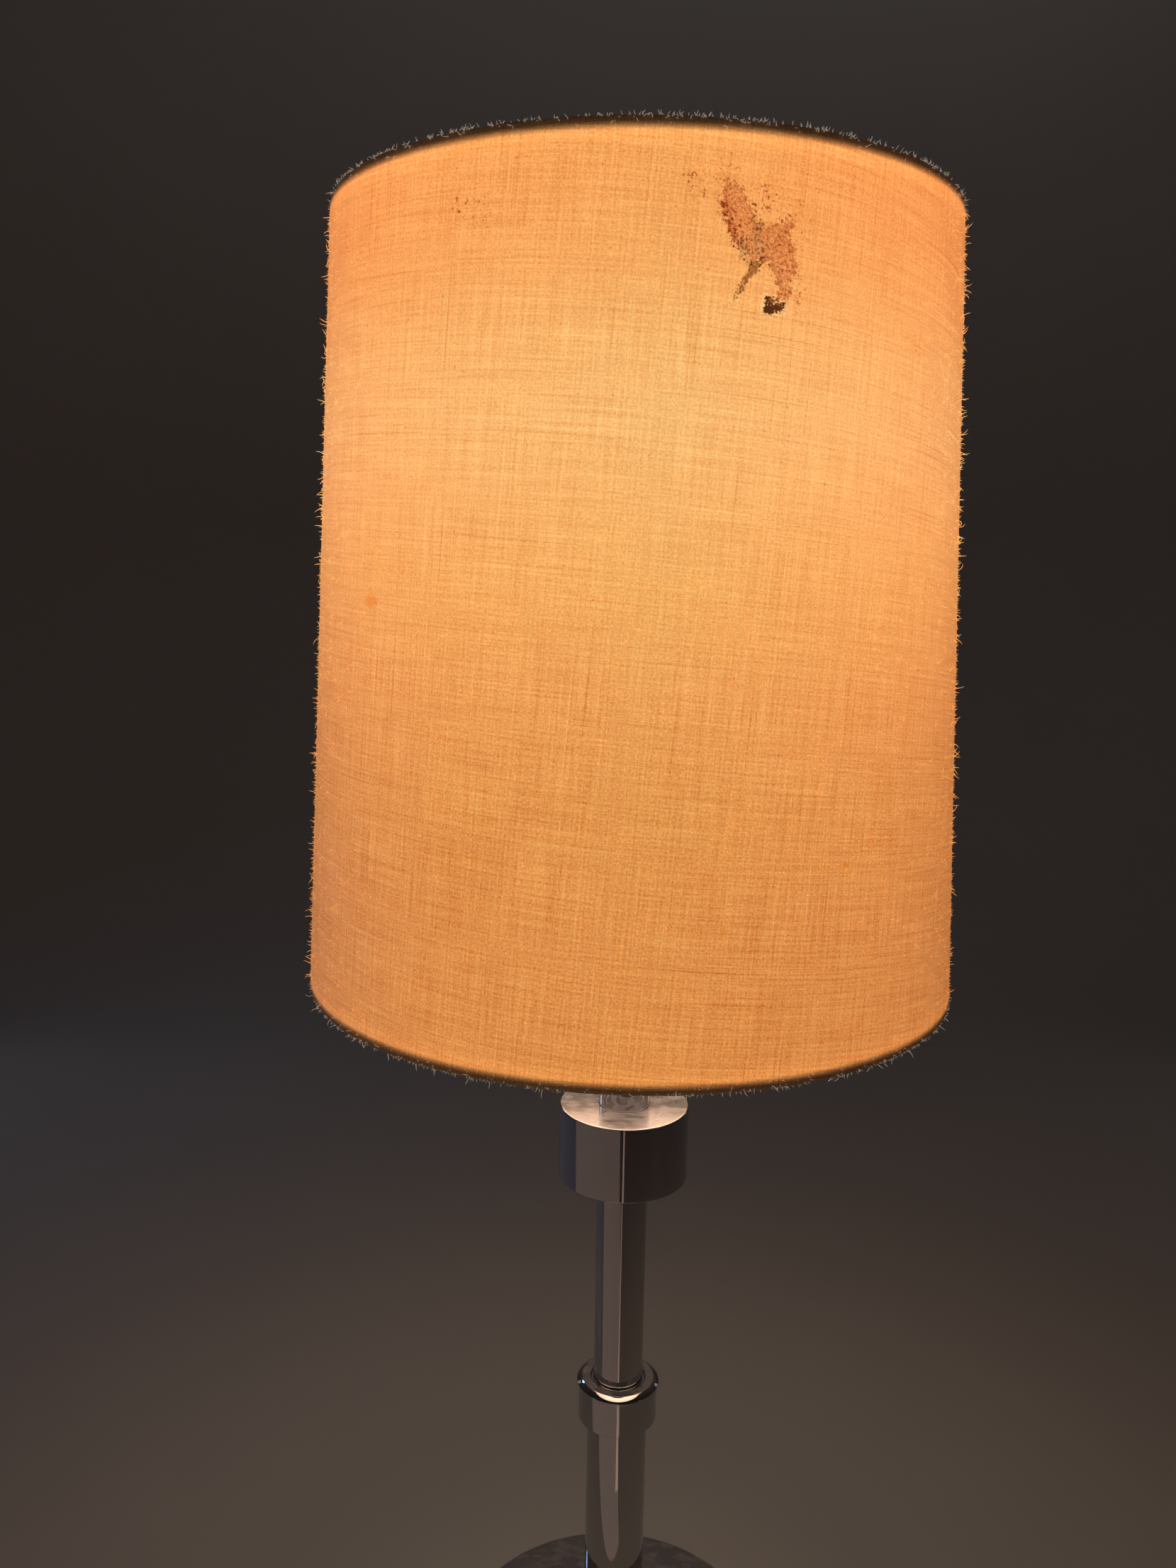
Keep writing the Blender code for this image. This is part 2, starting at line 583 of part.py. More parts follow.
def build_harp_stud():
    rivet_top = -HARP_BOSS_HEIGHT - 2 * GAP
    outline = [
        (0, rivet_top - STUD_RIVET_THICK),
        (STUD_RIVET_R, rivet_top - STUD_RIVET_THICK),
        (STUD_RIVET_R, rivet_top),
        (STUD_SHANK_R, rivet_top),
        (STUD_SHANK_R, 0),
        (STUD_SHOULDER_R, 0),
        (STUD_SHOULDER_R, STUD_SHOULDER_THICK),
        (STUD_THREAD_R, STUD_SHOULDER_THICK),
        (STUD_THREAD_R, STUD_SHOULDER_THICK + STUD_THREAD),
        (0, STUD_SHOULDER_THICK + STUD_THREAD),
    ]
    turned("harp_stud", outline, "brass", STUD_SHOULDER_Z, SMALL_STEPS)


def build_finial():
    ball_centre = FINIAL_HEIGHT - FINIAL_BALL_R
    hole_r = STUD_THREAD_R + GAP
    outline = [(0, FINIAL_HOLE_DEPTH), (hole_r, FINIAL_HOLE_DEPTH), (hole_r, 0), (FINIAL_FOOT_R, 0)]
    outline += [
        (FINIAL_FOOT_R, FINIAL_FOOT),
        (FINIAL_BODY_R, FINIAL_FOOT * 1.6),
        (FINIAL_BODY_R, FINIAL_BODY_TOP),
        (FINIAL_NECK_R, FINIAL_NECK_Z),
    ]
    outline += arc((0, ball_centre), FINIAL_BALL_R, -60, 75, 8)
    outline += [(0, FINIAL_HEIGHT)]
    turned("finial", outline, "chrome", FINIAL_Z, FINIAL_STEPS)


# Shade


def ring_outline(centre):
    """The round section of a shade ring's wire."""
    return arc(centre, RING_WIRE_R, 0, 300, 5)


def build_top_fitter():
    """The top ring, its spider arms and the washer that sits on the harp, welded into one frame."""
    fitter = turned("top_fitter", ring_outline(TOP_RING), "brass", steps=SHADE_STEPS)
    washer_hole_r = STUD_THREAD_R + GAP
    washer = tube("fitter_washer", WASHER_R, washer_hole_r, WASHER_Z, WASHER_Z + WASHER_THICK, "brass")
    combine(fitter, washer, "UNION")
    ring_r, ring_z = TOP_RING
    start = Vector((WASHER_R - 2 * RING_WIRE_R, 0, WASHER_Z + WASHER_THICK / 2))
    end = Vector((ring_r, 0, ring_z))
    handle = Vector((ring_r / 4, 0, 0))
    for number in range(SPIDER_ARMS):
        turn = Matrix.Rotation(arm_angle(number), 3, "Z")
        knots = [(turn @ start, turn @ handle), (turn @ end, turn @ handle)]
        arm = wire("fitter_arm_" + str(number + 1), knots, RING_WIRE_R, "brass", steps=8)
        combine(fitter, arm, "UNION")


def arm_angle(number):
    """Direction of a spider arm: the first one points to the front."""
    return math.radians(-90) + number * math.tau / SPIDER_ARMS


def build_bottom_ring():
    turned("bottom_ring", ring_outline(BOTTOM_RING), "brass", steps=SHADE_STEPS)


def build_shade_drum():
    """The linen. At both ends its edge is rolled round the ring and ends in a short flap inside."""
    inner_r = FOLD_R - LINEN_THICK
    flap_bottom = (BOTTOM_RING[0] - FOLD_R, BOTTOM_RING[1] + SHADE_FLAP)
    flap_top = (TOP_RING[0] - FOLD_R, TOP_RING[1] - SHADE_FLAP)
    outline = arc(BOTTOM_RING, FOLD_R, 0, -180, 4)
    outline += [flap_bottom, (flap_bottom[0] + LINEN_THICK, flap_bottom[1])]
    outline += arc(BOTTOM_RING, inner_r, -180, 0, 4)
    outline += arc(TOP_RING, inner_r, 0, 180, 4)
    outline += [(flap_top[0] + LINEN_THICK, flap_top[1]), flap_top]
    outline += arc(TOP_RING, FOLD_R, 180, 0, 4)
    drum = turned("shade_drum", outline, "linen", steps=SHADE_STEPS)
    for number in range(SPIDER_ARMS):
        low = (-2 * FOLD_R - GAP, -NOTCH_WIDTH / 2, -2 * FOLD_R)
        high = (GAP, NOTCH_WIDTH / 2, RING_WIRE_R + GAP)
        notch = block("arm_notch_" + str(number + 1), low, high, "zinc")
        ring_point = Vector((TOP_RING[0], 0, TOP_RING[1])) + notch.location
        notch.location = Matrix.Rotation(arm_angle(number), 3, "Z") @ ring_point
        notch.rotation_euler.z = arm_angle(number)
        combine(drum, notch, "DIFFERENCE")


def shade_radius(z):
    """Outside radius of the drum at a height."""
    share = (z - BOTTOM_RING[1]) / (TOP_RING[1] - BOTTOM_RING[1])
    return SHADE_R_BOTTOM + (SHADE_R_TOP - SHADE_R_BOTTOM) * share


def build_shade_lining():
    """The styrene sheet inside the linen, from just above the bottom ring to just under the top ring."""
    low = BOTTOM_RING[1] + RING_WIRE_R + GAP
    high = TOP_RING[1] - RING_WIRE_R - GAP
    inset = LINEN_THICK + GAP
    outline = [(shade_radius(z) - inset, z) for z in (low, high)]
    outline += [(radius - LINING_THICK, z) for radius, z in reversed(outline)]
    turned("shade_lining", outline, "styrene", steps=SHADE_STEPS)


# Socket


def build_socket_cap():
    bore_r = PIPE_R + GAP
    inside = SOCKET_CAP_R - SHEET_THICK
    bowl_top = SOCKET_HUB + SOCKET_CAP_R - SOCKET_HUB_R
    outline = [(bore_r, 0), (SOCKET_HUB_R, 0)]
    outline += arc((SOCKET_HUB_R, bowl_top), SOCKET_CAP_R - SOCKET_HUB_R, -90, 0, 5)
    outline += [(SOCKET_CAP_R, SOCKET_CAP_HEIGHT), (inside, SOCKET_CAP_HEIGHT)]
    outline += arc((SOCKET_HUB_R, bowl_top), inside - SOCKET_HUB_R, 0, -90, 5)
    outline += [(SOCKET_HUB_R, SOCKET_HUB_TOP), (bore_r, SOCKET_HUB_TOP)]
    turned("socket_cap", outline, "brass", SOCKET_BOTTOM)


def build_socket_shell():
    height = SOCKET_SHELL_TOP - SOCKET_SHELL_BOTTOM
    inner_r = SOCKET_SHELL_R - SOCKET_SHELL_WALL
    bead = SOCKET_SHELL_BEAD
    outline = [
        (SOCKET_SHELL_R, 0),
        (SOCKET_SHELL_R, height - 3 * bead),
        (SOCKET_SHELL_R + bead, height - 2 * bead),
        (SOCKET_SHELL_R + bead, height - bead),
        (SOCKET_SHELL_R, height),
        (inner_r, height),
        (inner_r, 0),
    ]
    shell = turned("socket_shell", outline, "brass", SOCKET_SHELL_BOTTOM)
    drill(shell, KEY_HOLE_R, (0, -INTERIOR_R, KEY_Z), (0, -1, 0), KEY_HOLE_DEPTH)


def build_socket_liner():
    liner = tube("socket_liner", LINER_R, LINER_R - LINER_WALL, LINER_BOTTOM, LINER_TOP, "card")
    drill(liner, KEY_HOLE_R, (0, -INTERIOR_R, KEY_Z), (0, -1, 0), KEY_HOLE_DEPTH)


def build_socket_interior():
    outline = [(0, 0), (INTERIOR_R, 0), (INTERIOR_R, INTERIOR_HEIGHT), (0, INTERIOR_HEIGHT)]
    interior = turned("socket_interior", outline, "black_plastic", LINER_BOTTOM)
    half = INTERIOR_HALF_WIDTH
    low = (-half, -INTERIOR_R - OVERCUT, LINER_BOTTOM - OVERCUT)
    high = (half, INTERIOR_R + OVERCUT, SCREW_SHELL_BOTTOM + OVERCUT)
    combine(interior, block("interior_sides", low, high, "zinc"), "INTERSECT")
    drill(interior, KEY_STEM_R + GAP, (0, GAP - KEY_STEM_START, KEY_Z), (0, -1, 0), INTERIOR_R)
    for name, side in (("terminal_screw_hot", -1), ("terminal_screw_neutral", 1)):
        deepest = (side * (half - TERMINAL_SHANK), 0, TERMINAL_Z)
        drill(interior, TERMINAL_SHANK_R + GAP, deepest, (side, 0, 0), TERMINAL_SHANK + OVERCUT)
        build_terminal_screw(name, side)


def build_terminal_screw(name, side):
    outline = [
        (0, -TERMINAL_SHANK),
        (TERMINAL_SHANK_R, -TERMINAL_SHANK),
        (TERMINAL_SHANK_R, 0),
        (TERMINAL_HEAD_R, 0),
        (TERMINAL_HEAD_R - TERMINAL_CHAMFER, TERMINAL_HEAD_THICK),
        (0, TERMINAL_HEAD_THICK),
    ]
    screw = turned(name, outline, "brass", steps=SCREW_STEPS)
    point_sideways(screw, (side * (INTERIOR_HALF_WIDTH + GAP), 0, TERMINAL_Z), (side, 0, 0))


def build_socket_screw_shell():
    inner_r = SCREW_SHELL_R - SCREW_SHELL_WALL
    outline = [
        (SCREW_SHELL_FLOOR_R, 0),
        (SCREW_SHELL_R, 0),
        (SCREW_SHELL_R, SCREW_SHELL_HEIGHT),
        (inner_r, SCREW_SHELL_HEIGHT),
        (inner_r, SCREW_SHELL_WALL),
        (SCREW_SHELL_FLOOR_R, SCREW_SHELL_WALL),
    ]
    turned("socket_screw_shell", outline, "brass", SCREW_SHELL_BOTTOM)


def build_socket_tongue():
    """The springy centre contact, which presses up on the bulb."""
    low_z = SCREW_SHELL_BOTTOM + TONGUE_THICK / 2
    high_z = low_z + TONGUE_RISE
    path = [(-0.0065, low_z), (-0.0035, low_z), (0.0010, high_z), (0.0040, high_z)]
    strip("socket_tongue", path, [CONTACT_TONGUE_WIDTH] * len(path), TONGUE_THICK, "brass")


def build_key():
    """The turn key that switches the lamp: a metal stem with a fluted knob."""
    stem_length = KEY_STEM_END - KEY_STEM_START
    outline = [(0, 0), (KEY_STEM_R, 0), (KEY_STEM_R, stem_length), (0, stem_length)]
    stem = turned("key_stem", outline, "brass", steps=SCREW_STEPS)
    point_sideways(stem, (0, -KEY_STEM_START, KEY_Z), (0, -1, 0))

    bm = bmesh.new()
    sides = KEY_FLUTES * 2
    hole_depth = KEY_STEM_END - KEY_KNOB_START + GAP
    rings = []
    top = KEY_KNOB_LENGTH
    for height, scale in ((0, 0.9), (KEY_BEVEL, 1.0), (top - KEY_BEVEL, 1.0), (top, 0.9)):
        ring = []
        for side in range(sides):
            radius = scale * KEY_KNOB_R * (1.0 if side % 2 else KEY_FLUTE_DEPTH)
            angle = math.tau * side / sides
            ring.append(bm.verts.new((radius * math.cos(angle), radius * math.sin(angle), height)))
        rings.append(ring)
    for one, two in zip(rings, rings[1:]):
        for k in range(sides):
            bm.faces.new((one[k], one[(k + 1) % sides], two[(k + 1) % sides], two[k]))
    bm.faces.new(rings[0])
    bm.faces.new(rings[-1])
    knob = new_piece("key_knob", bm, "black_plastic")
    point_sideways(knob, (0, -KEY_KNOB_START, KEY_Z), (0, -1, 0))
    start = (0, OVERCUT - KEY_KNOB_START, KEY_Z)
    drill(knob, KEY_STEM_R + GAP, start, (0, -1, 0), hole_depth + OVERCUT)


# Bulb


def glass_outline(wall):
    """The bulb's outline from its neck to its crown, moved inwards by a wall thickness."""
    join_angle = math.radians(35)
    radius = BULB_GLASS_R - wall
    neck_r = BULB_NECK_R - wall
    join = Vector((radius * math.cos(join_angle), BULB_CENTRE_Z - radius * math.sin(join_angle)))
    bend = Vector((neck_r, join.y - (join.x - neck_r) / math.tan(join_angle)))
    start = Vector((neck_r, 2 * bend.y - join.y))
    outline = [(neck_r, BULB_SHELL_TOP + GAP)]
    for i in range(5):
        t = i / 5
        point = start * (1 - t) ** 2 + bend * 2 * t * (1 - t) + join * t**2
        outline.append((point.x, point.y))
    return outline + arc((0, BULB_CENTRE_Z), radius, -35, 80, 7) + [(0, BULB_CENTRE_Z + radius)]


def build_bulb():
    outer = glass_outline(0)
    inner = glass_outline(BULB_GLASS_WALL)
    glass = [(radius, z - BULB_SHELL_TOP) for radius, z in inner[::-1] + outer]
    turned("bulb_glass", glass, "glass", BULB_SHELL_TOP)

    insulator_z = BULB_CONTACT_Z + BULB_CONTACT_THICK + GAP
    shell_z = insulator_z + BULB_INSULATOR_HEIGHT + GAP
    inner_r = BULB_SHELL_R - BULB_SHELL_WALL
    tube("bulb_screw_shell", BULB_SHELL_R, inner_r, shell_z, BULB_SHELL_TOP, "zinc")
    top = BULB_INSULATOR_HEIGHT
    cone = [(0, 0), (BULB_CONTACT_R + 0.0010, 0), (BULB_SHELL_R - 0.0008, top), (0, top)]
    turned("bulb_insulator", cone, "black_plastic", insulator_z, SMALL_STEPS)
    edge = BULB_CONTACT_THICK / 2
    contact = [(0, 0), (BULB_CONTACT_R - edge, 0), (BULB_CONTACT_R, edge), (BULB_CONTACT_R, 2 * edge)]
    turned("bulb_contact", contact + [(0, 2 * edge)], "zinc", BULB_CONTACT_Z, SMALL_STEPS)


def build_bulb_inside():
    stem_bottom = BULB_SHELL_TOP + GAP
    height = BULB_STEM_TOP - stem_bottom
    outline = [(0, 0), (BULB_STEM_FOOT_R, 0), (2 * BULB_STEM_R, height / 5), (BULB_STEM_R, height / 2)]
    outline += [(BULB_STEM_R, height), (0, height)]
    turned("bulb_stem", outline, "glass", stem_bottom, SMALL_STEPS)
    lead_z = BULB_STEM_TOP + GAP + FILAMENT_R
    knots = [
        ((-0.0012, 0, lead_z), (-0.004, 0, 0.006)),
        ((-FILAMENT_HALF_WIDTH, 0, FILAMENT_Z), (0, 0, 0.003)),
        ((0, 0, FILAMENT_Z + 0.0045), (0.006, 0, 0)),
        ((FILAMENT_HALF_WIDTH, 0, FILAMENT_Z), (0, 0, -0.003)),
        ((0.0012, 0, lead_z), (-0.004, 0, -0.006)),
    ]
    wire("bulb_filament", knots, FILAMENT_R, "tungsten", steps=5, sides=1)


def build_lamp():
    clear_scene()
    build_base_felt()
    build_base_weight()
    build_base_cover()
    build_cord_bushing()
    build_base_fasteners()
    build_base_flange()
    build_tubes()
    build_lower_collar()
    build_upper_collar()
    build_neck_cap()
    build_harp_saddle()
    build_harp()
    build_harp_sleeves()
    build_harp_stud()
    build_finial()
    build_top_fitter()
    build_bottom_ring()
    build_shade_drum()
    build_shade_lining()
    build_socket_cap()
    build_socket_shell()
    build_socket_liner()
    build_socket_interior()
    build_socket_screw_shell()
    build_socket_tongue()
    build_key()
    build_bulb()
    build_bulb_inside()


build_lamp()
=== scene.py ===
"""The looks of a lit table lamp: a linen drum shade on a chrome stem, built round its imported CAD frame.

Metres, Z up. The lamp's axis is the frame's Z axis, and its front faces -Y, towards the camera.
Angles round the axis are measured from the front, positive towards +X.
"""

import json
from math import atan, atan2, cos, degrees, exp, pi, radians, sin, tan, tau

import bmesh
import bpy
import numpy as np
from mathutils import Matrix, Quaternion, Vector

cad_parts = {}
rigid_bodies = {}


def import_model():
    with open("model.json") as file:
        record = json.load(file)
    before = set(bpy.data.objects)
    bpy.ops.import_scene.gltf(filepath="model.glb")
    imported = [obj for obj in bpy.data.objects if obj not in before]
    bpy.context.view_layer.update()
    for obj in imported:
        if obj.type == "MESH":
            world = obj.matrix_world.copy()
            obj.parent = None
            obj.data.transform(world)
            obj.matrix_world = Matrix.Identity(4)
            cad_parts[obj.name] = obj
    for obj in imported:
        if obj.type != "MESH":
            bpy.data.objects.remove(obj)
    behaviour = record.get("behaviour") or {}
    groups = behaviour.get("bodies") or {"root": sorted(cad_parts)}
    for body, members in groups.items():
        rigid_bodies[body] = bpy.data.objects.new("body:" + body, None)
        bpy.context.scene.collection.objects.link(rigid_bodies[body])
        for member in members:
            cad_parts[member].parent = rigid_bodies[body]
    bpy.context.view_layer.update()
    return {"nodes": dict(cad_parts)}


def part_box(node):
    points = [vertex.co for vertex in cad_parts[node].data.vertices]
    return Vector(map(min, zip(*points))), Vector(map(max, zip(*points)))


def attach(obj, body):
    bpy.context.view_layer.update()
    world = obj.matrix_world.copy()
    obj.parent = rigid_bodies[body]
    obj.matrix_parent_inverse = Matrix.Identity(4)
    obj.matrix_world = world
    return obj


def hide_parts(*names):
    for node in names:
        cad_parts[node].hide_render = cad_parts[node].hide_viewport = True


for leftover in list(bpy.data.objects):
    bpy.data.objects.remove(leftover)

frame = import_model()

MM = 0.001
UP = Vector((0, 0, 1))

# Shade: the cloth is one strip, rolled round a wire ring at each end
LINEN = 0.5 * MM  # thickness
ROLL_R = 2.0 * MM  # outside of the rolled edge
RING_WIRE = 1.2 * MM
FLAP = 2.2 * MM  # how far the cloth runs on past the roll
BOTTOM_RING_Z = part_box("bottom_ring")[0].z + RING_WIRE
BOTTOM_RING_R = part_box("bottom_ring")[1].x - RING_WIRE
TOP_RING_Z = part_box("shade_drum")[1].z - ROLL_R
TOP_RING_R = 136.33 * MM  # from the CAD: no node's box gives it
SLOPE = (BOTTOM_RING_R - TOP_RING_R) / (TOP_RING_Z - BOTTOM_RING_Z)
CONE = atan(SLOPE)  # how far the wall leans in from upright
GRAIN_TILT = radians(4.5)  # how far the threads lean to the right at the front
LAP_HALF = 5.0 * MM
ARMS = (0, 120, 240)  # degrees round from the front
NOTCH_HALF = 1.9 * MM
DRUM_STEPS = 480
WALL_ROWS = 64
ROLL_STEPS = 12
FLAP_STEPS = 4
LAP_ROWS = 80

# Cloth: the spacing of its threads, and the loose fibres that stand off it
THREAD = 0.55 * MM
FUZZ_COUNT = 24000
FIBRE_R = 0.18 * MM
TOP_EVERY = 20  # one fibre in 20 stands on the top roll
BOTTOM_EVERY = 25  # and one in 25 on the bottom roll
LONG_SHARE = 0.17

# Turned pieces: steps in a full turn, and the angle from which an edge stays sharp
FINE = 192
SMALL = 96
SHARP = radians(42)

# Camera, fitted to the photograph: angles in radians, lens in millimetres
CAMERA_AT = (0.0, -0.6063, 0.5939)
CAMERA_YAW = -0.0347
CAMERA_PITCH = 0.1636
CAMERA_ROLL = 0.0178
CAMERA_LENS = 29.3


# Shapes


def arc(centre, radius, start, end, steps):
    """Points on an arc, from start to end in degrees, ends included."""
    points = []
    for step in range(steps + 1):
        angle = radians(start + (end - start) * step / steps)
        points.append((centre[0] + radius * cos(angle), centre[1] + radius * sin(angle)))
    return points


def rounded(*corners, steps=5):
    """An outline with its corners rounded off.

    A corner is (radius, height) or (radius, height, rounding in millimetres).
    """
    points = []
    for number, corner in enumerate(corners):
        here = Vector(corner[:2])
        if len(corner) == 2:
            points.append(tuple(here))
            continue
        before = Vector(corners[number - 1][:2]) - here
        after = Vector(corners[(number + 1) % len(corners)][:2]) - here
        half = before.angle(after) / 2
        reach = min(corner[2] * MM / tan(half), 0.49 * before.length, 0.49 * after.length)
        before.normalize()
        after.normalize()
        radius = reach * tan(half)
        centre = here + (before + after).normalized() * radius / sin(half)
        first = here + before * reach - centre
        last = here + after * reach - centre
        start = atan2(first.y, first.x)
        turn = (atan2(last.y, last.x) - start + pi) % tau - pi
        points += arc(centre, radius, degrees(start), degrees(start + turn), steps)
    return points


def chained_arcs(start, *arcs):
    """Arcs that run on from one another, each as (radius, start, end) in degrees."""
    points = [start]
    for radius, begin, end in arcs:
        angle = radians(begin)
        centre = (points[-1][0] - radius * cos(angle), points[-1][1] - radius * sin(angle))
        points += arc(centre, radius, begin, end, 8)[1:]
    return points


def lifted(outline, height):
    return [(radius, z + height) for radius, z in outline]


def bezier(start, start_handle, end_handle, end, steps):
    """Points on one cubic curve, without its last one."""
    points = []
    for step in range(steps):
        t = step / steps
        s = 1 - t
        blend = [s**3, 3 * s * s * t, 3 * s * t * t, t**3]
        corners = [Vector(p) for p in (start, start_handle, end_handle, end)]
        points.append(sum((c * w for c, w in zip(corners, blend)), Vector([0] * len(start))))
    return points


def from_bmesh(name, bm):
    """A smooth-shaded object, its faces pointing out and its hard edges kept sharp."""
    bmesh.ops.recalc_face_normals(bm, faces=bm.faces)
    mesh = bpy.data.meshes.new(name)
    bm.to_mesh(mesh)
    bm.free()
    mesh.shade_smooth()
    mesh.set_sharp_from_angle(angle=SHARP)
    piece = bpy.data.objects.new(name, mesh)
    bpy.context.scene.collection.objects.link(piece)
    return piece


def skin(bm, rings, closed):
    """Faces between each ring of vertices and the next. A ring may be one vertex repeated."""
    following = rings[1:] + ([rings[0]] if closed else [])
    for low, high in zip(rings, following):
        for i in range(len(low)):
            j = (i + 1) % len(low)
            corners = list(dict.fromkeys((low[i], low[j], high[j], high[i])))
            if len(corners) > 2:
                bm.faces.new(corners)


def held_flat(outline):
    """Add a point where a long straight nears a tight curve, so that shading leaves the straight flat."""
    ends = [Vector(point) for point in outline]
    count = len(ends)
    closed = outline[0][0] > 1e-6
    points = []
    for number, here in enumerate(ends):
        points.append(tuple(here))
        if not closed and number == count - 1:
            break
        after = ends[(number + 1) % count]
        straight = after - here
        curve_before = (here - ends[number - 1]).length
        curve_after = (ends[(number + 2) % count] - after).length
        if 0.01 * MM < curve_before < 0.3 * straight.length:
            points.append(tuple(here + straight.normalized() * curve_before))
        if 0.01 * MM < curve_after < 0.3 * straight.length:
            points.append(tuple(after - straight.normalized() * curve_after))
    return points


def turned_ring(bm, radius, height, steps, wobble=None):
    """A ring of vertices round Z, or one vertex repeated where there is no radius."""
    if radius < 1e-6:
        return [bm.verts.new((0, 0, height))] * steps
    vertices = []
    for step in range(steps):
        angle = tau * step / steps
        reach = radius + (wobble(angle, height) if wobble else 0)
        vertices.append(bm.verts.new((reach * cos(angle), reach * sin(angle), height)))
    return vertices


def lathe(name, outline, steps=FINE, wobble=None):
    """Turn an outline of (radius, height) points about Z. wobble(angle, height) adds to the radius."""
    outline = held_flat(outline)
    bm = bmesh.new()
    rings = [turned_ring(bm, radius, height, steps, wobble) for radius, height in outline]
    skin(bm, rings, closed=outline[0][0] > 1e-6)
    return from_bmesh(name, bm)


def wire(name, path, radius, closed=False, sides=16):
    """A round wire along a path of points, with rounded ends if it is open."""
    bm = bmesh.new()
    path = [Vector(p) for p in path]
    count = len(path)
    rings = []
    side = None
    for number, here in enumerate(path):
        before = path[number - 1] if closed or number else here
        after = path[(number + 1) % count] if closed or number + 1 < count else here
        along = (after - before).normalized()
        if side is None:
            side = along.orthogonal()
        side = (side - along * side.dot(along)).normalized()
        up = along.cross(side)
        at_end = not closed and number in (0, count - 1)
        if at_end:
            outward = -along if number == 0 else along
            steps = [(0.7, 0.35), (0.4, 0.8), (0, 1)]
            caps = [(here + outward * radius * past, radius * width) for past, width in steps]
            caps = caps if number == 0 else caps[::-1]
        else:
            caps = [(here, radius)]
        for centre, reach in caps:
            ring = []
            for corner in range(sides):
                angle = tau * corner / sides
                ring.append(bm.verts.new(centre + reach * (side * cos(angle) + up * sin(angle))))
            rings.append(ring)
    skin(bm, rings, closed)
    if not closed:
        bm.faces.new(rings[0])
        bm.faces.new(rings[-1])
    return from_bmesh(name, bm)


def dress(piece, body, slot, material, *nodes):
    """The piece rides on a body, stands for these CAD nodes and wears the material."""
    piece.data.materials.append(material)
    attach(piece, body)
    if nodes:
        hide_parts(*nodes)
    return piece


def finish_node(node, material, bevel=0.15 * MM):
    """Keep a CAD node's shape, soften its edges and give it the material."""
    piece = frame["nodes"][node]
    piece.data.materials.clear()
    piece.data.materials.append(material)
    if bevel:
        softened = piece.modifiers.new("soft_edges", "BEVEL")
        softened.width = bevel
        softened.segments = 2
        softened.limit_method = "ANGLE"
        softened.angle_limit = SHARP


# Shade geometry


def direction(angle):
    """Outward direction at an angle round the axis, in radians from the front."""
    return Vector((sin(angle), -cos(angle), 0))


def wall_radius(height):
    """Outside radius of the cloth at a height."""
    return BOTTOM_RING_R + ROLL_R - SLOPE * (height - BOTTOM_RING_Z)


def cloth_place(angle, height):
    """Where a point of the wall lies on the cloth when it is laid flat, with the threads upright."""
    from_apex = wall_radius(height) / sin(CONE)
    spread = angle * sin(CONE)
    across = from_apex * sin(spread)
    up = -from_apex * cos(spread)
    tilt_cos, tilt_sin = cos(GRAIN_TILT), sin(GRAIN_TILT)
    return across * tilt_cos - up * tilt_sin, across * tilt_sin + up * tilt_cos


APEX = cloth_place(0, (BOTTOM_RING_Z + TOP_RING_Z) / 2)


def on_cloth(angle, height):
    """The same place measured from the middle of the front, which keeps the numbers small."""
    across, up = cloth_place(angle, height)
    return across - APEX[0], up - APEX[1]


def strip_profile(notched):
    """The cloth's outside from one cut edge to the other, as (radius, height, height along the cloth).

    It starts inside at the bottom, rolls round the ring, climbs the wall and rolls in over the top ring.
    Where an arm passes, the cloth is notched and stops on top of the ring.
    """
    roll_length = pi * ROLL_R
    profile = []
    for step in range(FLAP_STEPS):
        drop = FLAP * (1 - step / FLAP_STEPS)
        profile.append((BOTTOM_RING_R - ROLL_R, BOTTOM_RING_Z + drop, BOTTOM_RING_Z - roll_length - drop))
    for number, point in enumerate(arc((BOTTOM_RING_R, BOTTOM_RING_Z), ROLL_R, -180, 0, ROLL_STEPS)):
        profile.append((*point, BOTTOM_RING_Z - roll_length * (1 - number / ROLL_STEPS)))
    for row in range(1, WALL_ROWS):
        # rows crowd together near the two ends, where the cloth puckers
        share = 0.5 - 0.5 * cos(pi * row / WALL_ROWS)
        height = BOTTOM_RING_Z + share * (TOP_RING_Z - BOTTOM_RING_Z)
        profile.append((wall_radius(height), height, height))
    roll_end = 80 if notched else 180
    for number, point in enumerate(arc((TOP_RING_R, TOP_RING_Z), ROLL_R, 0, roll_end, ROLL_STEPS)):
        profile.append((*point, TOP_RING_Z + roll_length * number / ROLL_STEPS * roll_end / 180))
    last_radius, last_height, last_along = profile[-1]
    for step in range(1, FLAP_STEPS + 1):
        drop = 0 if notched else FLAP * step / FLAP_STEPS
        creep = 0.02 * MM * step if notched else 0
        profile.append((last_radius - creep, last_height - drop, last_along + drop + creep))
    return profile


def inner_profile(profile):
    """The same line moved in by the cloth's thickness."""
    inner = []
    for number, (radius, height, _) in enumerate(profile):
        before = profile[max(number - 1, 0)]
        after = profile[min(number + 1, len(profile) - 1)]
        along = Vector((after[0] - before[0], after[1] - before[1])).normalized()
        inner.append((radius - along.y * LINEN, height + along.x * LINEN, profile[number][2]))
    return inner


def pucker(angle, height):
    """How far the cloth stands proud: small gathers by the rolled edges and a slow drift on the wall."""
    near_top = exp(-max(TOP_RING_Z - height, 0) / (5 * MM))
    near_bottom = exp(-max(height - BOTTOM_RING_Z, 0) / (5 * MM))
    gathers = sin(71 * angle + 2 * sin(5 * angle)) * sin(13 * angle + 1.3)
    slow = sin(3 * angle + 9 * height) + 0.6 * sin(7 * angle - 23 * height + 1)
    return (0.10 * gathers * (near_top + near_bottom) + 0.06 * slow + 0.12) * MM


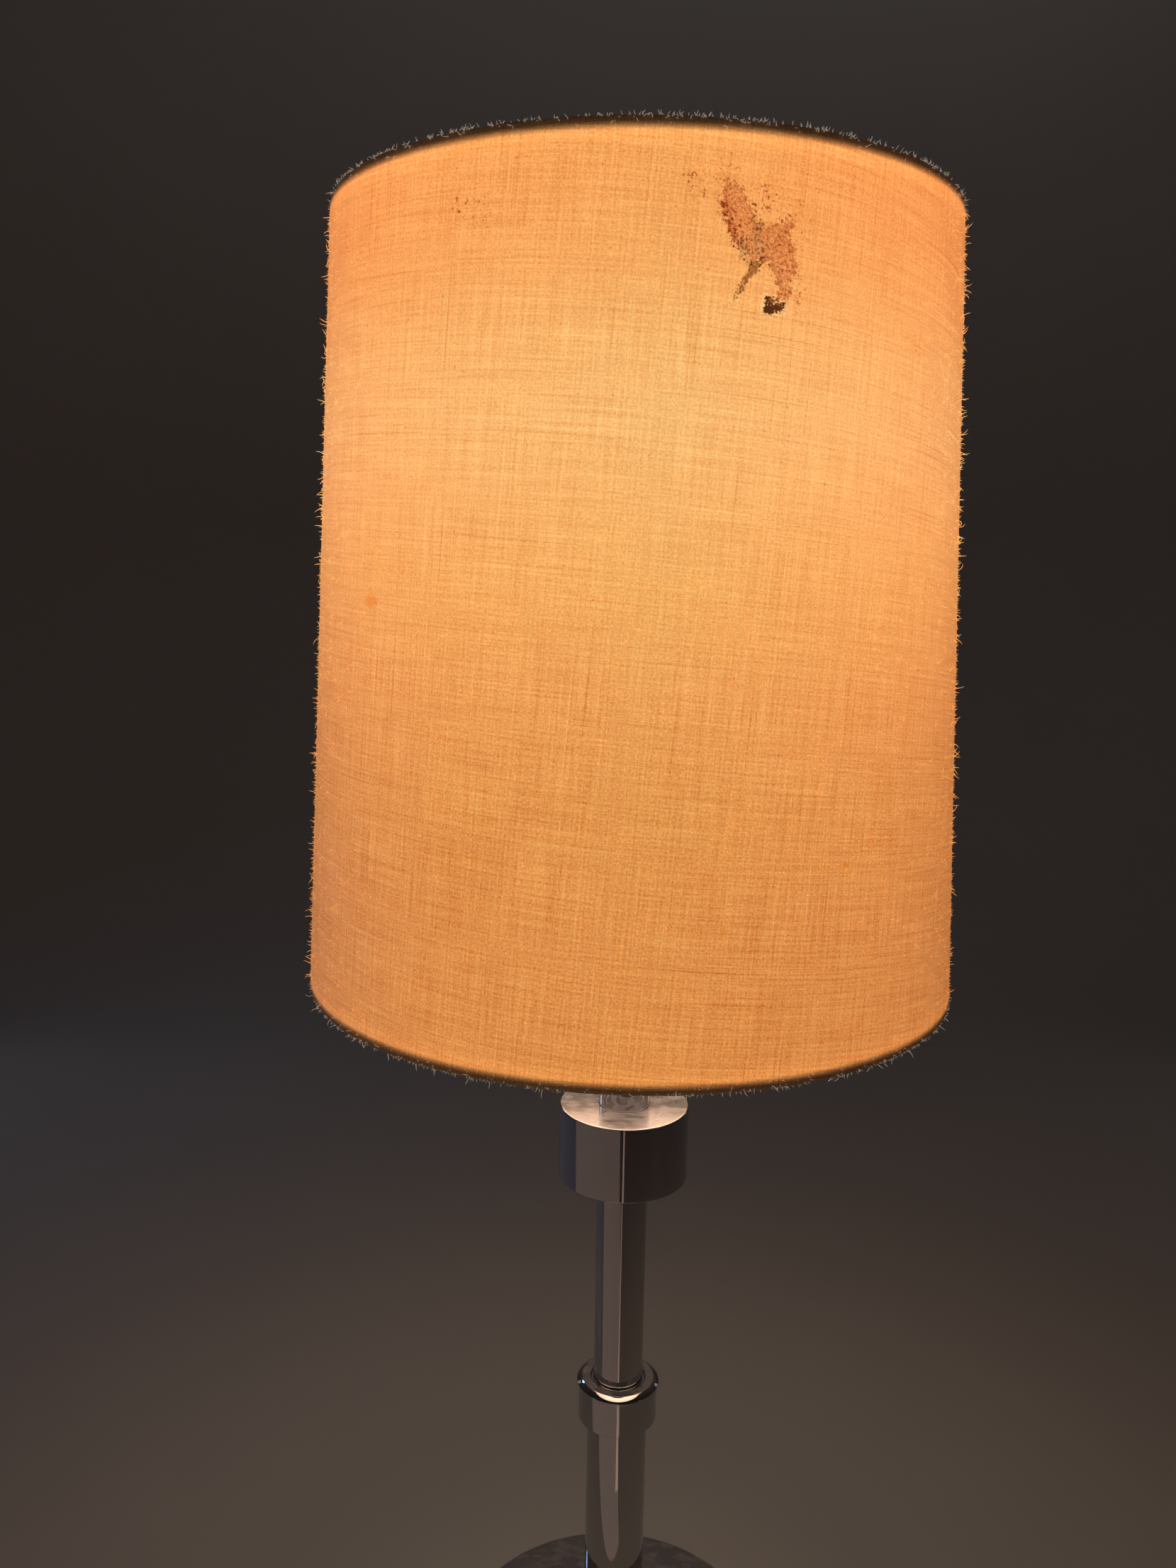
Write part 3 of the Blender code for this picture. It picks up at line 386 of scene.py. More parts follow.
def add_face(bm, uv_layer, corners):
    """A face whose corners are (vertex, place on the flat cloth)."""
    face = bm.faces.new([vertex for vertex, _ in corners])
    for loop, (_, place) in zip(face.loops, corners):
        loop[uv_layer].uv = place


def build_linen_drum(material):
    """The strip bent round the wires. Its last column is the first one again, further along the cloth."""
    plain, notched = strip_profile(False), strip_profile(True)
    bm = bmesh.new()
    uv_layer = bm.loops.layers.uv.new("cloth")
    columns = []
    for step in range(DRUM_STEPS + 1):
        angle = -pi + tau * step / DRUM_STEPS
        away = min(abs((degrees(angle) - arm + 180) % 360 - 180) for arm in ARMS)
        profile = notched if radians(away) * TOP_RING_R < NOTCH_HALF else plain
        out = direction(angle)
        column = []
        for number, (radius, height, along) in enumerate(profile + inner_profile(profile)[::-1]):
            if step < DRUM_STEPS:
                vertex = bm.verts.new(out * (radius + pucker(angle, height)) + UP * height)
            else:
                vertex = columns[0][number][0]
            column.append((vertex, on_cloth(angle, along)))
        columns.append(column)
    for left, right in zip(columns, columns[1:]):
        for row in range(len(left)):
            nearby = (row + 1) % len(left)
            add_face(bm, uv_layer, (left[row], right[row], right[nearby], left[nearby]))
    drum = from_bmesh("linen_drum", bm)
    return dress(drum, "shade", "shade_linen", material, "shade_drum")


def build_linen_lap(material):
    """The strip at the back where the cloth's end laps over its beginning."""
    bm = bmesh.new()
    uv_layer = bm.loops.layers.uv.new("cloth")
    half = LAP_HALF / wall_radius(BOTTOM_RING_Z)
    # across the strip: the place from edge to edge, and how far it stands proud in millimetres
    section = [(-1, 0.02), (-0.97, 0.34), (-0.5, 0.36), (0, 0.36), (0.5, 0.36), (0.97, 0.34), (1, 0.02)]
    low, high = BOTTOM_RING_Z - 0.5 * ROLL_R, TOP_RING_Z + 0.4 * ROLL_R
    rows = []
    for step in range(LAP_ROWS + 1):
        height = low + (high - low) * step / LAP_ROWS
        row = []
        for share, rise in section:
            edge = 0.35 * MM * sin(160 * height + 3 * share) / wall_radius(height)
            angle = pi + share * half + edge * abs(share)
            reach = wall_radius(min(max(height, BOTTOM_RING_Z), TOP_RING_Z)) + pucker(pi, height)
            vertex = bm.verts.new(direction(angle) * (reach + rise * MM) + UP * height)
            row.append((vertex, on_cloth(angle, height)))
        under = direction(pi) * (wall_radius(height) - 0.1 * MM) + UP * height
        row.append((bm.verts.new(under), on_cloth(pi, height)))
        rows.append(row)
    for lower, upper in zip(rows, rows[1:]):
        for side in range(len(lower)):
            nearby = (side + 1) % len(lower)
            add_face(bm, uv_layer, (lower[side], lower[nearby], upper[nearby], upper[side]))
    for end in (rows[0], rows[-1]):
        bm.faces.new([vertex for vertex, _ in end])
    return dress(from_bmesh("linen_lap", bm), "shade", "shade_linen", material)


def build_lining(material):
    low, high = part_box("shade_lining")
    inset = LINEN + 0.3 * MM
    thick = 0.4 * MM
    outline = [(wall_radius(z) - inset, z) for z in np.linspace(low.z, high.z, 12)]
    outline += [(radius - thick, z) for radius, z in reversed(outline)]
    dress(lathe("styrene_lining", outline, 240), "shade", "shade_styrene", material, "shade_lining")


def fibre_root(random, number):
    """Where a loose fibre leaves the cloth, and which way is out: on a roll or on the wall."""
    angle = random.uniform(-pi, pi)
    height = random.uniform(BOTTOM_RING_Z, TOP_RING_Z)
    out = direction(angle)
    if number % TOP_EVERY == 0:
        ring_r, ring_z, roll = TOP_RING_R, TOP_RING_Z, random.uniform(10, 150)
    elif number % BOTTOM_EVERY == 1:
        ring_r, ring_z, roll = BOTTOM_RING_R, BOTTOM_RING_Z, random.uniform(-110, 0)
    else:
        return out * wall_radius(height) + UP * height, out
    outward = out * cos(radians(roll)) + UP * sin(radians(roll))
    return out * ring_r + UP * ring_z + outward * ROLL_R, outward


def add_fibre(bm, here, heading, curl, length, links):
    """One three-sided fibre that tapers to a point, bending towards curl at each link."""
    side = heading.orthogonal().normalized()
    rings = []
    for link in range(links):
        other = heading.cross(side).normalized()
        corners = []
        for turn in (0, tau / 3, 2 * tau / 3):
            offset = side * cos(turn) + other * sin(turn)
            corners.append(bm.verts.new(here + offset * FIBRE_R * (1 - 0.4 * link / links)))
        rings.append(corners)
        here = here + heading * length / links
        heading = (heading + curl * 0.4).normalized()
        side = (side - heading * side.dot(heading)).normalized()
    rings.append([bm.verts.new(here)] * 3)
    skin(bm, rings, closed=False)
    bm.faces.new(rings[0])


def build_fuzz(material):
    """Loose fibre ends that stand off the cloth: mostly a short straight nap, with some long curls."""
    random = np.random.default_rng(7)
    bm = bmesh.new()
    for number in range(FUZZ_COUNT):
        here, out = fibre_root(random, number)
        at_top = number % TOP_EVERY == 0
        long = at_top or random.random() < LONG_SHARE
        longest = 2.6 if at_top else 4.8
        length = random.uniform(1.0, longest) * MM if long else random.uniform(0.7, 1.9) * MM
        heading = (out + Vector(random.normal(0, 0.6, 3))).normalized()
        if heading.dot(out) < 0.25:
            heading = (heading + out).normalized()
        curl = Vector(random.normal(0, 0.9, 3))
        add_fibre(bm, here, heading, curl, length, links=3 if long else 1)
    return dress(from_bmesh("linen_fuzz", bm), "shade", "shade_linen", material)


# Materials


class Graph:
    """The nodes of one material, with a short call for each kind used here."""

    def __init__(self, name):
        self.material = bpy.data.materials.new(name)
        self.material.use_nodes = True
        self.nodes = self.material.node_tree.nodes
        self.links = self.material.node_tree.links
        self.shader = next(node for node in self.nodes if node.type == "BSDF_PRINCIPLED")

    def put(self, socket, value):
        if isinstance(value, bpy.types.NodeSocket):
            self.links.new(value, socket)
        elif socket.type == "RGBA" and len(value) == 3:
            socket.default_value = (*value, 1)
        else:
            socket.default_value = value

    def surface(self, **values):
        """Set or link the shader's own sockets: base_color=... is its Base Color."""
        sockets = {socket.name.lower().replace(" ", "_"): socket for socket in self.shader.inputs}
        for name, value in values.items():
            self.put(sockets[name], value)

    def node(self, kind, inputs=(), **settings):
        """A new node, with its inputs given in order. None leaves one as it is."""
        node = self.nodes.new("ShaderNode" + kind)
        for name, value in settings.items():
            setattr(node, name, value)
        for socket, value in zip(node.inputs, inputs):
            if value is not None:
                self.put(socket, value)
        return node

    def place(self):
        """Where the point is on its piece, in metres."""
        return self.node("TexCoord").outputs["Object"]

    def split(self, vector):
        return self.node("SeparateXYZ", (vector,)).outputs

    def math(self, operation, *values):
        return self.node("Math", values, operation=operation).outputs[0]

    def vector(self, operation, *values, output=0):
        return self.node("VectorMath", values, operation=operation).outputs[output]

    def named(self, kind, **values):
        """The first output of a new node, with the inputs that are named here set or linked."""
        node = self.node(kind)
        for name, value in values.items():
            self.put(node.inputs[name], value)
        return node.outputs[0]

    def noise(self, vector, scale, detail=2.0, roughness=0.5):
        return self.named("TexNoise", Vector=vector, Scale=scale, Detail=detail, Roughness=roughness)

    def remap(self, value, from_low, from_high, to_low=0.0, to_high=1.0):
        return self.node("MapRange", (value, from_low, from_high, to_low, to_high)).outputs[0]

    def mix(self, share, first, second, blend="MIX"):
        node = self.node("Mix", data_type="RGBA", blend_type=blend)
        for place, value in ((0, share), (6, first), (7, second)):
            self.put(node.inputs[place], value)
        return node.outputs[2]

    def ramp(self, value, stops):
        """A colour for each value, from (value, colour) stops."""
        node = self.node("ValToRGB", (value,))
        elements = node.color_ramp.elements
        while len(elements) < len(stops):
            elements.new(1.0)
        for element, (place, colour) in zip(elements, stops):
            element.position = place
            element.color = (*colour, 1) if len(colour) == 3 else colour
        return node.outputs[0]

    def total(self, *terms):
        """The sum of (socket, weight) terms, each socket taken as its distance from one half."""
        result = 0.0
        for socket, weight in terms:
            result = self.math("ADD", result, self.math("MULTIPLY_ADD", socket, weight, -weight / 2))
        return result

    def bump(self, height, distance, strength):
        return self.named("Bump", Height=height, Distance=distance, Strength=strength)

    def stretched(self, vector, across, up):
        """The cloth's coordinates, scaled differently across and up, so that noise follows a thread."""
        return self.vector("MULTIPLY", vector, (across, up, 0))


def grey(value):
    return (value, value, value)


def srgb(red, green, blue):
    """A display colour, 0 to 255, as linear light."""
    linear = []
    for channel in (red, green, blue):
        share = channel / 255
        linear.append(share / 12.92 if share <= 0.04045 else ((share + 0.055) / 1.055) ** 2.4)
    return tuple(linear)


# Light through the cloth at heights above the bottom ring: warm low down, yellower level with the bulb
GLOW = [
    (0.000, (223, 143, 71)),
    (0.160, (225, 146, 74)),
    (0.310, (229, 153, 78)),
    (0.420, (238, 162, 87)),
    (0.540, (246, 176, 97)),
    (0.640, (250, 184, 108)),
    (0.715, (251, 190, 115)),
    (0.790, (250, 186, 110)),
    (0.870, (248, 173, 97)),
    (0.940, (247, 167, 91)),
    (1.000, (250, 170, 92)),
]
# Painted side shading: towards its left and right sides, along X, the glow is painted a little redder high
# up and dimmer low down, by distance across it
SIDE_SHADE_HIGH = [
    (-0.14, (1.20, 0.94, 0.94)),
    (-0.07, (1.06, 0.96, 0.95)),
    (0.01, (1, 1, 1)),
    (0.14, (1.19, 0.92, 0.90)),
]
SIDE_SHADE_LOW = [
    (-0.14, (0.90, 0.84, 1.10)),
    (-0.07, (1.0, 0.97, 0.98)),
    (0.01, (1, 1, 1)),
    (0.14, (0.96, 0.86, 0.92)),
]
# How much light the two ends let through, by millimetres in from the outermost point of the roll
HEM_FADE = [
    (0.0, 0.02),
    (2.4, 0.04),
    (3.3, 0.17),
    (4.2, 0.48),
    (5.3, 1.05),
    (6.4, 1.16),
    (8.0, 1.09),
    (11.0, 1.0),
]
HEM_REACH = 14.0
# The threads stand out least level with the bulb, where the light is strongest
CONTRAST = [(0.0, 1.4), (0.3, 1.4), (0.6, 0.92), (0.8, 0.92), (1.0, 1.2)]
# Strength at which the cloth glows in the colours written above
EMISSION = 0.94


def glow_at(g, height):
    """Light through plain cloth, for heights counted from 0 at the bottom ring to 1 at the top ring."""
    return g.ramp(height, [(at, srgb(*colour)) for at, colour in GLOW])


def weave_layers(g, cloth):
    """Shades of the single threads, of bands of threads and of the cloth as a whole, around zero."""
    warp = g.noise(g.stretched(cloth, 1050, 24), 1.0, 2.0, 0.75)
    weft = g.noise(g.stretched(cloth, 24, 1050), 1.0, 2.0, 0.75)
    warp_band = g.noise(g.stretched(cloth, 420, 9), 1.0, 2.0)
    weft_band = g.noise(g.stretched(cloth, 8, 420), 1.0, 2.0)
    grain = g.noise(cloth, 1100, 3.0, 0.75)
    cloud = g.noise(cloth, 40, 3.0, 0.6)
    layers = (
        (warp, 0.58),
        (weft, 0.58),
        (warp_band, 0.09),
        (weft_band, 0.12),
        (grain, 1.15),
        (cloud, 0.07),
    )
    return g.total(*layers)


def slubs(g, cloth):
    """Thick places in single threads show as thin dark lines, and thin places as light ones: 1 to -1."""
    upright = g.noise(g.stretched(cloth, 1150, 15), 1.0, 0.0)
    level = g.noise(g.stretched(cloth, 12, 1150), 1.0, 0.0)
    thick = g.remap(g.math("MAXIMUM", upright, level), 0.70, 0.84)
    thin = g.remap(g.math("MINIMUM", upright, level), 0.27, 0.17)
    return g.math("MULTIPLY_ADD", thin, -0.7, thick)


def thread_relief(g, cloth):
    """Plain weave: warp and weft pass over each other by turns."""
    turns = g.vector("MULTIPLY", cloth, (pi / THREAD, pi / THREAD, 0))
    across, up, _ = g.split(turns)
    over = g.math("MULTIPLY", g.math("SINE", across), g.math("SINE", up))
    return g.math("MULTIPLY_ADD", over, 0.5, 0.5)


def blot_distance(g, cloth, angle, height, across, up, lean):
    """Millimetres outside an oval mark on the cloth, negative inside it. angle and lean are in degrees."""
    x, y = on_cloth(radians(angle), height)
    node = g.node("Mapping", (cloth,), vector_type="TEXTURE")
    node.inputs["Location"].default_value = (x, y, 0)
    node.inputs["Rotation"].default_value = (0, 0, radians(lean))
    node.inputs["Scale"].default_value = (across * MM, up * MM, 1)
    reach = g.vector("LENGTH", node.outputs[0], output=1)
    size = min(across, up)
    return g.math("MULTIPLY_ADD", reach, size, -size)


def blots(g, cloth, ovals, blend=1.2):
    """Distance to several ovals run together."""
    result = None
    for oval in ovals:
        distance = blot_distance(g, cloth, *oval)
        result = distance if result is None else g.math("SMOOTH_MIN", result, distance, blend)
    return result


# Marks: (angle in degrees, height, half width and half height in mm, lean in degrees)
STAIN = [
    (12.6, 0.7235, 4.0, 3.8, 12),
    (13.9, 0.7150, 5.4, 9.6, 24),
    (16.6, 0.7085, 5.4, 6.5, 15),
    (19.0, 0.7128, 3.4, 2.6, 0),
    (20.9, 0.7150, 1.7, 2.8, -35),
    (20.4, 0.7040, 4.8, 8.2, 10),
    (20.7, 0.6935, 2.6, 3.6, 0),
]
TAIL = [(16.0, 0.7005, 1.8, 3.2, -32), (15.0, 0.6968, 1.3, 4.4, -34), (13.9, 0.6925, 0.9, 2.6, -20)]
RED = [(11.5, 0.7195, 2.3, 3.2, 20), (12.6, 0.7135, 1.7, 3.8, 24)]
GREY_BROWN = [(16.4, 0.7090, 2.6, 7.5, 14), (14.2, 0.7065, 2.4, 5.0, 22)]
HOLE = [
    (18.3, 0.6868, 2.2, 1.7, 8),
    (19.6, 0.6874, 2.4, 1.5, -14),
    (18.5, 0.6894, 2.0, 2.0, 0),
    (20.3, 0.6882, 1.4, 1.2, 0),
]
FLAKE = [(18.8, 0.6898, 1.6, 1.2, 25), (20.0, 0.6888, 1.5, 0.8, -20)]
SPECKS = [
    (6.6, 0.7280, 2.6, 3.6, 30),
    (7.9, 0.7232, 2.0, 1.6, 0),
    (10.6, 0.7330, 1.4, 3.2, 0),
    (12.5, 0.7326, 1.6, 2.2, 0),
    (11.6, 0.7280, 2.6, 1.8, 0),
    (23.2, 0.6930, 2.2, 8.2, 8),
    (17.8, 0.7235, 4.5, 4.5, 0),
    (-28.6, 0.7226, 3.4, 4.6, 0),
    (-28.8, 0.7240, 1.2, 1.0, 0),
]
PEPPER = [(19.5, 0.7180, 17.0, 13.0, 0), (8.0, 0.7290, 9.0, 7.0, 0), (-26.0, 0.7210, 14.0, 8.0, 0)]
SPOTS = [
    (-46.0, 0.5815, 4.6, 3.6, 0),
    (33.8, 0.4851, 1.7, 1.6, 0),
    (13.6, 0.4633, 1.6, 1.4, 0),
    (40.6, 0.5755, 1.4, 1.2, 0),
    (47.2, 0.6823, 4.2, 0.5, -12),
]


def darkened(g, share, colour, tint):
    """The colour with the tint laid over it where share is 1."""
    return g.mix(share, colour, g.mix(1.0, colour, tint, "MULTIPLY"))


def stained(g, cloth, colour):
    """Brown marks dried into the cloth, which take light out of the colour, and where they are."""
    coarse = g.noise(cloth, 420, 3.0, 0.65)
    crumbs = g.noise(cloth, 1000, 3.0, 0.7)
    ragged = g.total((coarse, 9.0), (crumbs, 5.0))

    def mark(ovals, raggedness, blend=1.2):
        # distance outside ovals whose edge is ragged
        return g.math("MULTIPLY_ADD", ragged, raggedness, blots(g, cloth, ovals, blend))

    body = g.math("ADD", blots(g, cloth, STAIN), ragged)
    inside = g.remap(body, 0.5, -0.3)
    mottle = g.total((crumbs, 3.0), (coarse, 1.6))
    dried = [
        (0.0, (0.34, 0.21, 0.16)),
        (0.3, (0.66, 0.46, 0.42)),
        (0.6, (0.90, 0.74, 0.76)),
        (1.0, (0.97, 0.90, 0.92)),
    ]
    colour = darkened(g, inside, colour, g.ramp(g.math("ADD", mottle, 0.5), dried))
    outline = g.remap(g.math("ABSOLUTE", g.math("ADD", body, 0.3)), 0.7, 0.1, 0.0, 0.5)
    colour = darkened(g, outline, colour, (0.55, 0.42, 0.34))

    greyish = g.remap(mark(GREY_BROWN, 0.9), 0.8, -1.6, 0.0, 0.85)
    tint = g.mix(g.remap(mottle, -0.4, 0.3), (0.40, 0.42, 0.40), (0.74, 0.80, 0.86))
    colour = darkened(g, greyish, colour, tint)

    red = g.remap(mark(RED, 1.0), 0.9, -1.6, 0.0, 0.95)
    tint = g.mix(g.remap(mottle, -0.3, 0.4), (0.42, 0.17, 0.12), (0.82, 0.50, 0.40))
    colour = darkened(g, red, colour, tint)

    tail = g.remap(mark(TAIL, 0.5, 0.6), 0.25, -0.3)
    tint = g.mix(g.remap(crumbs, 0.38, 0.62), (0.24, 0.18, 0.13), (0.60, 0.49, 0.44))
    colour = darkened(g, tail, colour, tint)

    # light leaks round the torn hole, whose dark crust carries a few paler flakes
    torn = mark(HOLE, 0.6, 0.5)
    leak = g.math("MULTIPLY", g.remap(torn, 0.0, 0.3), g.remap(torn, 2.0, 0.5))
    colour = darkened(g, leak, colour, (1.04, 1.24, 1.55))
    flake = g.remap(mark(FLAKE, 0.3), 0.2, -0.2)
    pale = g.mix(g.remap(crumbs, 0.42, 0.6), (0.16, 0.11, 0.10), (0.50, 0.36, 0.36))
    crust = g.mix(flake, (0.085, 0.055, 0.04), pale)
    hole = g.remap(torn, 0.12, -0.12)
    colour = darkened(g, hole, colour, crust)

    near = g.remap(blots(g, cloth, SPECKS, 0.1), 1.4, -0.8)
    speck = g.math("MULTIPLY", near, g.remap(g.total((coarse, 1.0), (crumbs, 1.2)), 0.06, 0.20))
    colour = darkened(g, speck, colour, (0.58, 0.38, 0.28))
    near = g.remap(blots(g, cloth, PEPPER, 0.1), 3.0, -5.0)
    pepper = g.math("MULTIPLY", near, g.remap(g.total((coarse, 0.8), (crumbs, 1.0)), 0.09, 0.17))
    colour = darkened(g, pepper, colour, (0.70, 0.48, 0.34))

    faint = g.remap(mark(SPOTS, 0.4, 0.1), 0.8, -1.4, 0.0, 0.75)
    colour = darkened(g, faint, colour, (0.94, 0.70, 0.38))
    marks = g.math("MAXIMUM", g.math("MAXIMUM", inside, tail), g.math("MAXIMUM", hole, speck))
    return colour, marks


def linen(name, light_through=1.0):
    """Undyed linen with a lamp behind it. light_through is less where the cloth is double."""
    g = Graph(name)
    cloth = g.node("UVMap", uv_map="cloth").outputs[0]
    x, y, z = g.split(g.place())
    height = g.remap(z, BOTTOM_RING_Z, TOP_RING_Z)
    glow = glow_at(g, height)

    # painted side shading: the glow is dimmed and reddened towards the left and right sides, along X
    sides = []
    for hues in (SIDE_SHADE_LOW, SIDE_SHADE_HIGH):
        left, right = hues[0][0], hues[-1][0]
        stops = [((at - left) / (right - left), hue) for at, hue in hues]
        sides.append(g.ramp(g.remap(x, left, right), stops))
    glow = g.mix(1.0, glow, g.mix(g.remap(height, 0.1, 0.65), *sides), "MULTIPLY")

    # threads, slubs and flecks: the darker the place, the redder it is
    weave = weave_layers(g, cloth)
    slub = slubs(g, cloth)
    fleck = g.remap(g.noise(cloth, 520, 1.0), 0.72, 0.78)
    dark = g.math("MULTIPLY_ADD", slub, 0.20, g.math("MULTIPLY", fleck, 0.28))
    contrast = g.ramp(height, [(at, grey(amount)) for at, amount in CONTRAST])
    through = g.math("SUBTRACT", g.math("MULTIPLY_ADD", weave, contrast, 1.0), dark)
    relief = thread_relief(g, cloth)
    through = g.math("MULTIPLY_ADD", relief, 0.07, g.math("SUBTRACT", through, 0.035))
    shades = g.node("CombineXYZ", [g.math("POWER", through, power) for power in (0.55, 1.15, 1.7)])
    glow = g.mix(1.0, glow, shades.outputs[0], "MULTIPLY")

    glow, marks = stained(g, cloth, glow)

    # the rolled edges hold wire and three layers of cloth, so next to no light comes through
    from_bottom = g.math("SUBTRACT", z, BOTTOM_RING_Z - ROLL_R)
    from_top = g.math("SUBTRACT", TOP_RING_Z + ROLL_R, z)
    inward = g.math("MULTIPLY", g.math("MINIMUM", from_bottom, from_top), 1 / (HEM_REACH * MM))
    fade = g.ramp(inward, [(at / HEM_REACH, grey(light)) for at, light in HEM_FADE])

    # behind the lap the backing overlaps too
    from_seam = g.math("ADD", g.math("ABSOLUTE", x), g.remap(y, 0.0, 0.02, 1.0, 0.0))
    seam = g.remap(from_seam, 7.0 * MM, 8.5 * MM, 0.80 * light_through, light_through)
    glow = g.vector("SCALE", glow, None, None, g.math("MULTIPLY", fade, seam))

    flax = g.mix(g.remap(g.math("ADD", weave, 0.5), 0.3, 0.7), srgb(176, 150, 122), srgb(214, 194, 166))
    base = g.mix(g.math("MULTIPLY", marks, 0.7), flax, srgb(120, 74, 44))
    thickness = g.math("MULTIPLY_ADD", slub, 0.8, g.math("MULTIPLY_ADD", weave, 1.2, relief))
    g.surface(
        base_color=base,
        roughness=0.92,
        specular_ior_level=0.2,
        sheen_weight=0.55,
        sheen_roughness=0.45,
        sheen_tint=(0.95, 0.80, 0.68, 1),
        emission_color=glow,
        emission_strength=EMISSION,
        normal=g.bump(thickness, 0.12 * MM, 0.6),
    )
    return g.material


def fuzz_fibre():
    """Loose flax fibres with a painted glow in place of the cloth's light on them: as bright as the wall,
    grey at the dark rolls.
    """
    g = Graph("flax_fibre")
    at = g.place()
    shade = g.noise(at, 700, 1.0)
    height = g.split(at)[2]
    from_bottom = g.math("SUBTRACT", height, BOTTOM_RING_Z)
    from_top = g.math("SUBTRACT", TOP_RING_Z, height)
    inward = g.math("MINIMUM", from_bottom, from_top)
    # painted glow on the fibres: grey at the rolls, the wall's own glow out on the wall
    at_rolls = g.mix(shade, srgb(58, 50, 44), srgb(168, 154, 140))
    level = g.remap(height, BOTTOM_RING_Z, TOP_RING_Z)
    on_wall = g.vector("SCALE", glow_at(g, level), None, None, g.remap(shade, 0.3, 0.7, 0.70, 0.98))
    g.surface(
        base_color=g.mix(shade, srgb(190, 170, 145), srgb(235, 222, 205)),
        roughness=0.8,
        sheen_weight=0.5,
        emission_color=g.mix(g.remap(inward, 0.0, 7 * MM), at_rolls, on_wall),
        emission_strength=1.0,
    )
    return g.material


def styrene():
    """The stiff white backing sheet, glaring with the bulb's light from inside."""
    g = Graph("styrene_backing")
    at = g.place()
    height = g.split(at)[2]
    level = g.remap(height, BOTTOM_RING_Z, TOP_RING_Z)
    stops = [
        (0.0, (0.60, 0.41, 0.30)),
        (0.45, (0.86, 0.63, 0.44)),
        (0.68, (1.0, 0.82, 0.62)),
        (1.0, (0.72, 0.50, 0.34)),
    ]
    glow = g.ramp(level, stops)
    cloudy = g.remap(g.noise(at, 18, 3.0), 0.3, 0.7, 0.94, 1.04)
    g.surface(
        base_color=g.mix(g.noise(at, 60, 2.0), srgb(236, 228, 214), srgb(250, 246, 238)),
        roughness=0.42,
        specular_ior_level=0.3,
        emission_color=g.vector("SCALE", glow, None, None, cloudy),
        emission_strength=1.25,
        normal=g.bump(g.noise(at, 240, 2.0), 0.05 * MM, 0.3),
    )
    return g.material


def chrome(name, dust):
    """Polished chrome plate with faint smears and specks, and patchy pale dust on what faces up."""
    g = Graph(name)
    at = g.place()
    facing_up = g.split(g.node("NewGeometry").outputs["Normal"])[2]
    smear = g.remap(g.noise(g.vector("MULTIPLY", at, (1, 1, 0.35)), 46, 4.0, 0.6), 0.45, 0.75)
    speckle = g.remap(g.noise(at, 1500, 2.0, 0.7), 0.66, 0.74)
    patches = g.noise(g.vector("MULTIPLY", at, (1.0, 1.7, 1.0)), 110, 1.0, 0.5)
    patchy = g.remap(patches, 0.30, 0.66, 0.4, 1.0)
    settled = g.math("MULTIPLY", g.remap(facing_up, 0.75, 0.97), patchy)
    dusty = g.math("MULTIPLY", g.math("MAXIMUM", settled, g.math("MULTIPLY", speckle, 0.5)), dust)
    rough = g.math("MULTIPLY_ADD", smear, 0.03, 0.02)
    waves = g.noise(g.vector("MULTIPLY", at, (1, 1, 0.15)), 30, 1.0)
    g.surface(
        base_color=g.mix(dusty, (0.55, 0.55, 0.575), srgb(216, 200, 210)),
        metallic=g.math("SUBTRACT", 1.0, dusty),
        roughness=g.math("MULTIPLY_ADD", dusty, 0.3, rough),
        normal=g.bump(waves, 0.05 * MM, 0.08),
    )
    return g.material


def metal(name, light, dark, rough):
    """A plain plated metal: two close shades, a little patchy gloss and fine scratches."""
    g = Graph(name)
    at = g.place()
    patch = g.noise(at, 60, 4.0, 0.6)
    scratch = g.noise(g.vector("MULTIPLY", at, (1, 1, 0.06)), 2200, 1.0)
    g.surface(
        base_color=g.mix(g.remap(patch, 0.3, 0.7), dark, light),
        metallic=1.0,
        roughness=g.math("MULTIPLY_ADD", patch, 0.15, rough - 0.075),
        normal=g.bump(scratch, 0.02 * MM, 0.25),
    )
    return g.material


def moulded(name, light, dark, rough, grain=900):
    """Plastic, card or felt: a speckled colour with a fine surface grain."""
    g = Graph(name)
    at = g.place()
    speckle = g.noise(at, grain, 3.0, 0.6)
    g.surface(
        base_color=g.mix(g.remap(speckle, 0.35, 0.65), dark, light),
        roughness=g.remap(speckle, 0.3, 0.7, rough - 0.06, rough + 0.06),
        normal=g.bump(speckle, 0.06 * MM, 0.5),
    )
    return g.material


def lit_glass():
    """Frosted bulb glass, glaring white with a warm limb."""
    g = Graph("lit_frosted_glass")
    at = g.place()
    height = g.split(at)[2]
    low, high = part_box("bulb_glass")
    stops = [(0.0, (0.55, 0.36, 0.2)), (0.3, (1, 0.8, 0.56)), (0.6, (1, 0.9, 0.72)), (1.0, (1, 0.84, 0.6))]
    glow = g.ramp(g.remap(height, low.z, high.z), stops)
    frost = g.noise(at, 1500, 2.0)
    g.surface(
        base_color=g.mix(frost, srgb(235, 232, 225), srgb(250, 248, 244)),
        roughness=g.remap(frost, 0.3, 0.7, 0.35, 0.55),
        emission_color=glow,
        emission_strength=4.0,
        normal=g.bump(frost, 0.02 * MM, 0.3),
    )
    return g.material


def hot_wire():
    g = Graph("tungsten")
    at = g.place()
    g.surface(
        base_color=grey(0.2),
        emission_color=g.mix(g.noise(at, 900), (1, 0.62, 0.25), (1, 0.8, 0.45)),
        emission_strength=20.0,
    )
    return g.material


# Chrome stem and base, from the table up. Each piece's heights and outer radius come from its CAD node.

TUBE_WALL = 1.2 * MM
PIPE_HOLE = 5.6 * MM


def span(node):
    """Lowest height, highest height and outer radius of a node that stands on the lamp's axis."""
    low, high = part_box(node)
    return low.z, high.z, high.x


def socket_for(tube):
    """Radius of the recess that a tube's end sits in."""
    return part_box(tube)[1].x + 0.3 * MM


